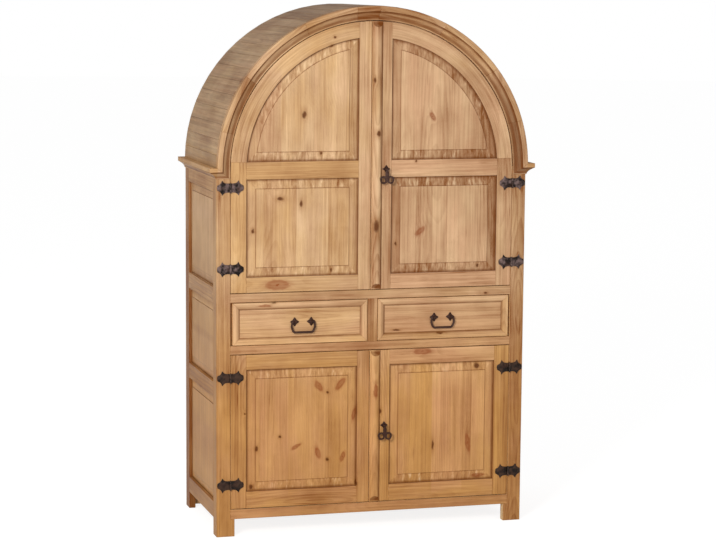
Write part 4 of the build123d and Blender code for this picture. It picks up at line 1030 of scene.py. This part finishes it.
# name, place, width, height, power and tint
LAMPS = [
    ("key", (-3.7, -5.2, 3.3), 1.5, 1.5, 250, (1.0, 0.985, 0.96)),
    ("front_fill", (1.2, -7.0, 2.0), 3.0, 2.5, 70, WHITE),
]
CAMERA_PLACE = (-2.4483, -8.6304, 2.1134)
CAMERA_YAW, CAMERA_PITCH, CAMERA_ROLL = 0.2715, -0.1386, 0.0066        # radians
PICTURE_WIDTH = 716              # pixels
SENSOR_WIDTH, SIGHT_ENDS = 36.0, 200.0
FOCAL_PIXELS, OFF_X_PIXELS, OFF_Y_PIXELS = 2306.24, -15.913, 28.040


def white_stage():
    """Pale floor that shows as white, apart from the shadow that lies on it."""
    finish = Finish("pale_floor")
    rays = finish.node("ShaderNodeLightPath").outputs
    looked_at = Value(finish, rays["Is Camera Ray"])
    for kind in ("Is Glossy Ray", "Is Transmission Ray"):
        looked_at = looked_at.most(Value(finish, rays[kind]))
    paint = finish.node("ShaderNodeBsdfDiffuse", {}, {"Color": (FLOOR_LIT,) * 3})
    faint = finish.node("ShaderNodeBsdfDiffuse", {}, {"Color": (FLOOR_SEEN,) * 3})
    glow = finish.node("ShaderNodeEmission", {}, {"Color": WHITE, "Strength": FLOOR_GLOW})
    seen = finish.node("ShaderNodeAddShader", {}, {0: faint.outputs[0], 1: glow.outputs[0]})
    both = finish.node("ShaderNodeMixShader", {},
                       {0: looked_at, 1: paint.outputs[0], 2: seen.outputs[0]})
    finish.node("ShaderNodeOutputMaterial", {}, {"Surface": both.outputs[0]})
    return finish.material


def floor():
    """Round floor under the feet, one smooth sheet."""
    mesh = bpy.data.meshes.new("studio_floor")
    work = bmesh.new()
    bmesh.ops.create_circle(work, cap_ends=True, segments=FLOOR_SEGMENTS, radius=FLOOR_RADIUS)
    bmesh.ops.translate(work, verts=work.verts, vec=(0, 0, -FLOOR_UNDER))
    work.to_mesh(mesh)
    work.free()
    mesh.materials.append(white_stage())
    new_object("studio_floor", mesh)


def world_light(strength):
    """Even white surroundings, plain white where they are seen."""
    world = bpy.data.worlds.new("studio")
    bpy.context.scene.world = world
    world.use_nodes = True
    tree = world.node_tree
    tree.nodes.clear()
    rays = add_node(tree, "ShaderNodeLightPath").outputs
    seen = add_node(tree, "ShaderNodeMath", {"operation": "MAXIMUM"},
                    (rays["Is Camera Ray"], rays["Is Transmission Ray"]))
    skies = [add_node(tree, "ShaderNodeBackground", {}, {"Color": WHITE, "Strength": power})
             for power in (strength, 1.0)]
    both = add_node(tree, "ShaderNodeMixShader", {},
                    [node.outputs[0] for node in (seen, *skies)])
    add_node(tree, "ShaderNodeOutputWorld", {}, {"Surface": both.outputs[0]})


def soft_box(name, place, width, height, power, tint):
    """Large soft lamp turned to the middle of the front."""
    lamp = bpy.data.lights.new(name, "AREA")
    lamp.shape, lamp.size, lamp.size_y = "RECTANGLE", width, height
    lamp.energy, lamp.color = power, tint
    thing = new_object(name, lamp)
    thing.location = place
    thing.rotation_euler = (Vector(AIM) - Vector(place)).to_track_quat("-Z", "Y").to_euler()


def camera():
    """Camera a long way off, a little left of the cabinet and above its top."""
    forward = Vector((math.sin(CAMERA_YAW) * math.cos(CAMERA_PITCH),
                      math.cos(CAMERA_YAW) * math.cos(CAMERA_PITCH), math.sin(CAMERA_PITCH)))
    level = Vector((math.cos(CAMERA_YAW), -math.sin(CAMERA_YAW), 0))
    upright = level.cross(forward)
    right = level * math.cos(CAMERA_ROLL) + upright * math.sin(CAMERA_ROLL)
    up = upright * math.cos(CAMERA_ROLL) - level * math.sin(CAMERA_ROLL)
    lens = bpy.data.cameras.new("camera")
    lens.sensor_fit, lens.sensor_width = "HORIZONTAL", SENSOR_WIDTH
    lens.lens = FOCAL_PIXELS * lens.sensor_width / PICTURE_WIDTH
    lens.shift_x, lens.shift_y = -OFF_X_PIXELS / PICTURE_WIDTH, OFF_Y_PIXELS / PICTURE_WIDTH
    lens.clip_end = SIGHT_ENDS
    thing = new_object("camera", lens)
    turn = Matrix((right, up, -forward)).transposed().to_4x4()
    thing.matrix_world = Matrix.Translation(CAMERA_PLACE) @ turn
    bpy.context.scene.camera = thing


floor()
world_light(ROOM_LIGHT)
for lamp in LAMPS:
    soft_box(*lamp)
camera()
bpy.context.scene.view_settings.view_transform = "Standard"
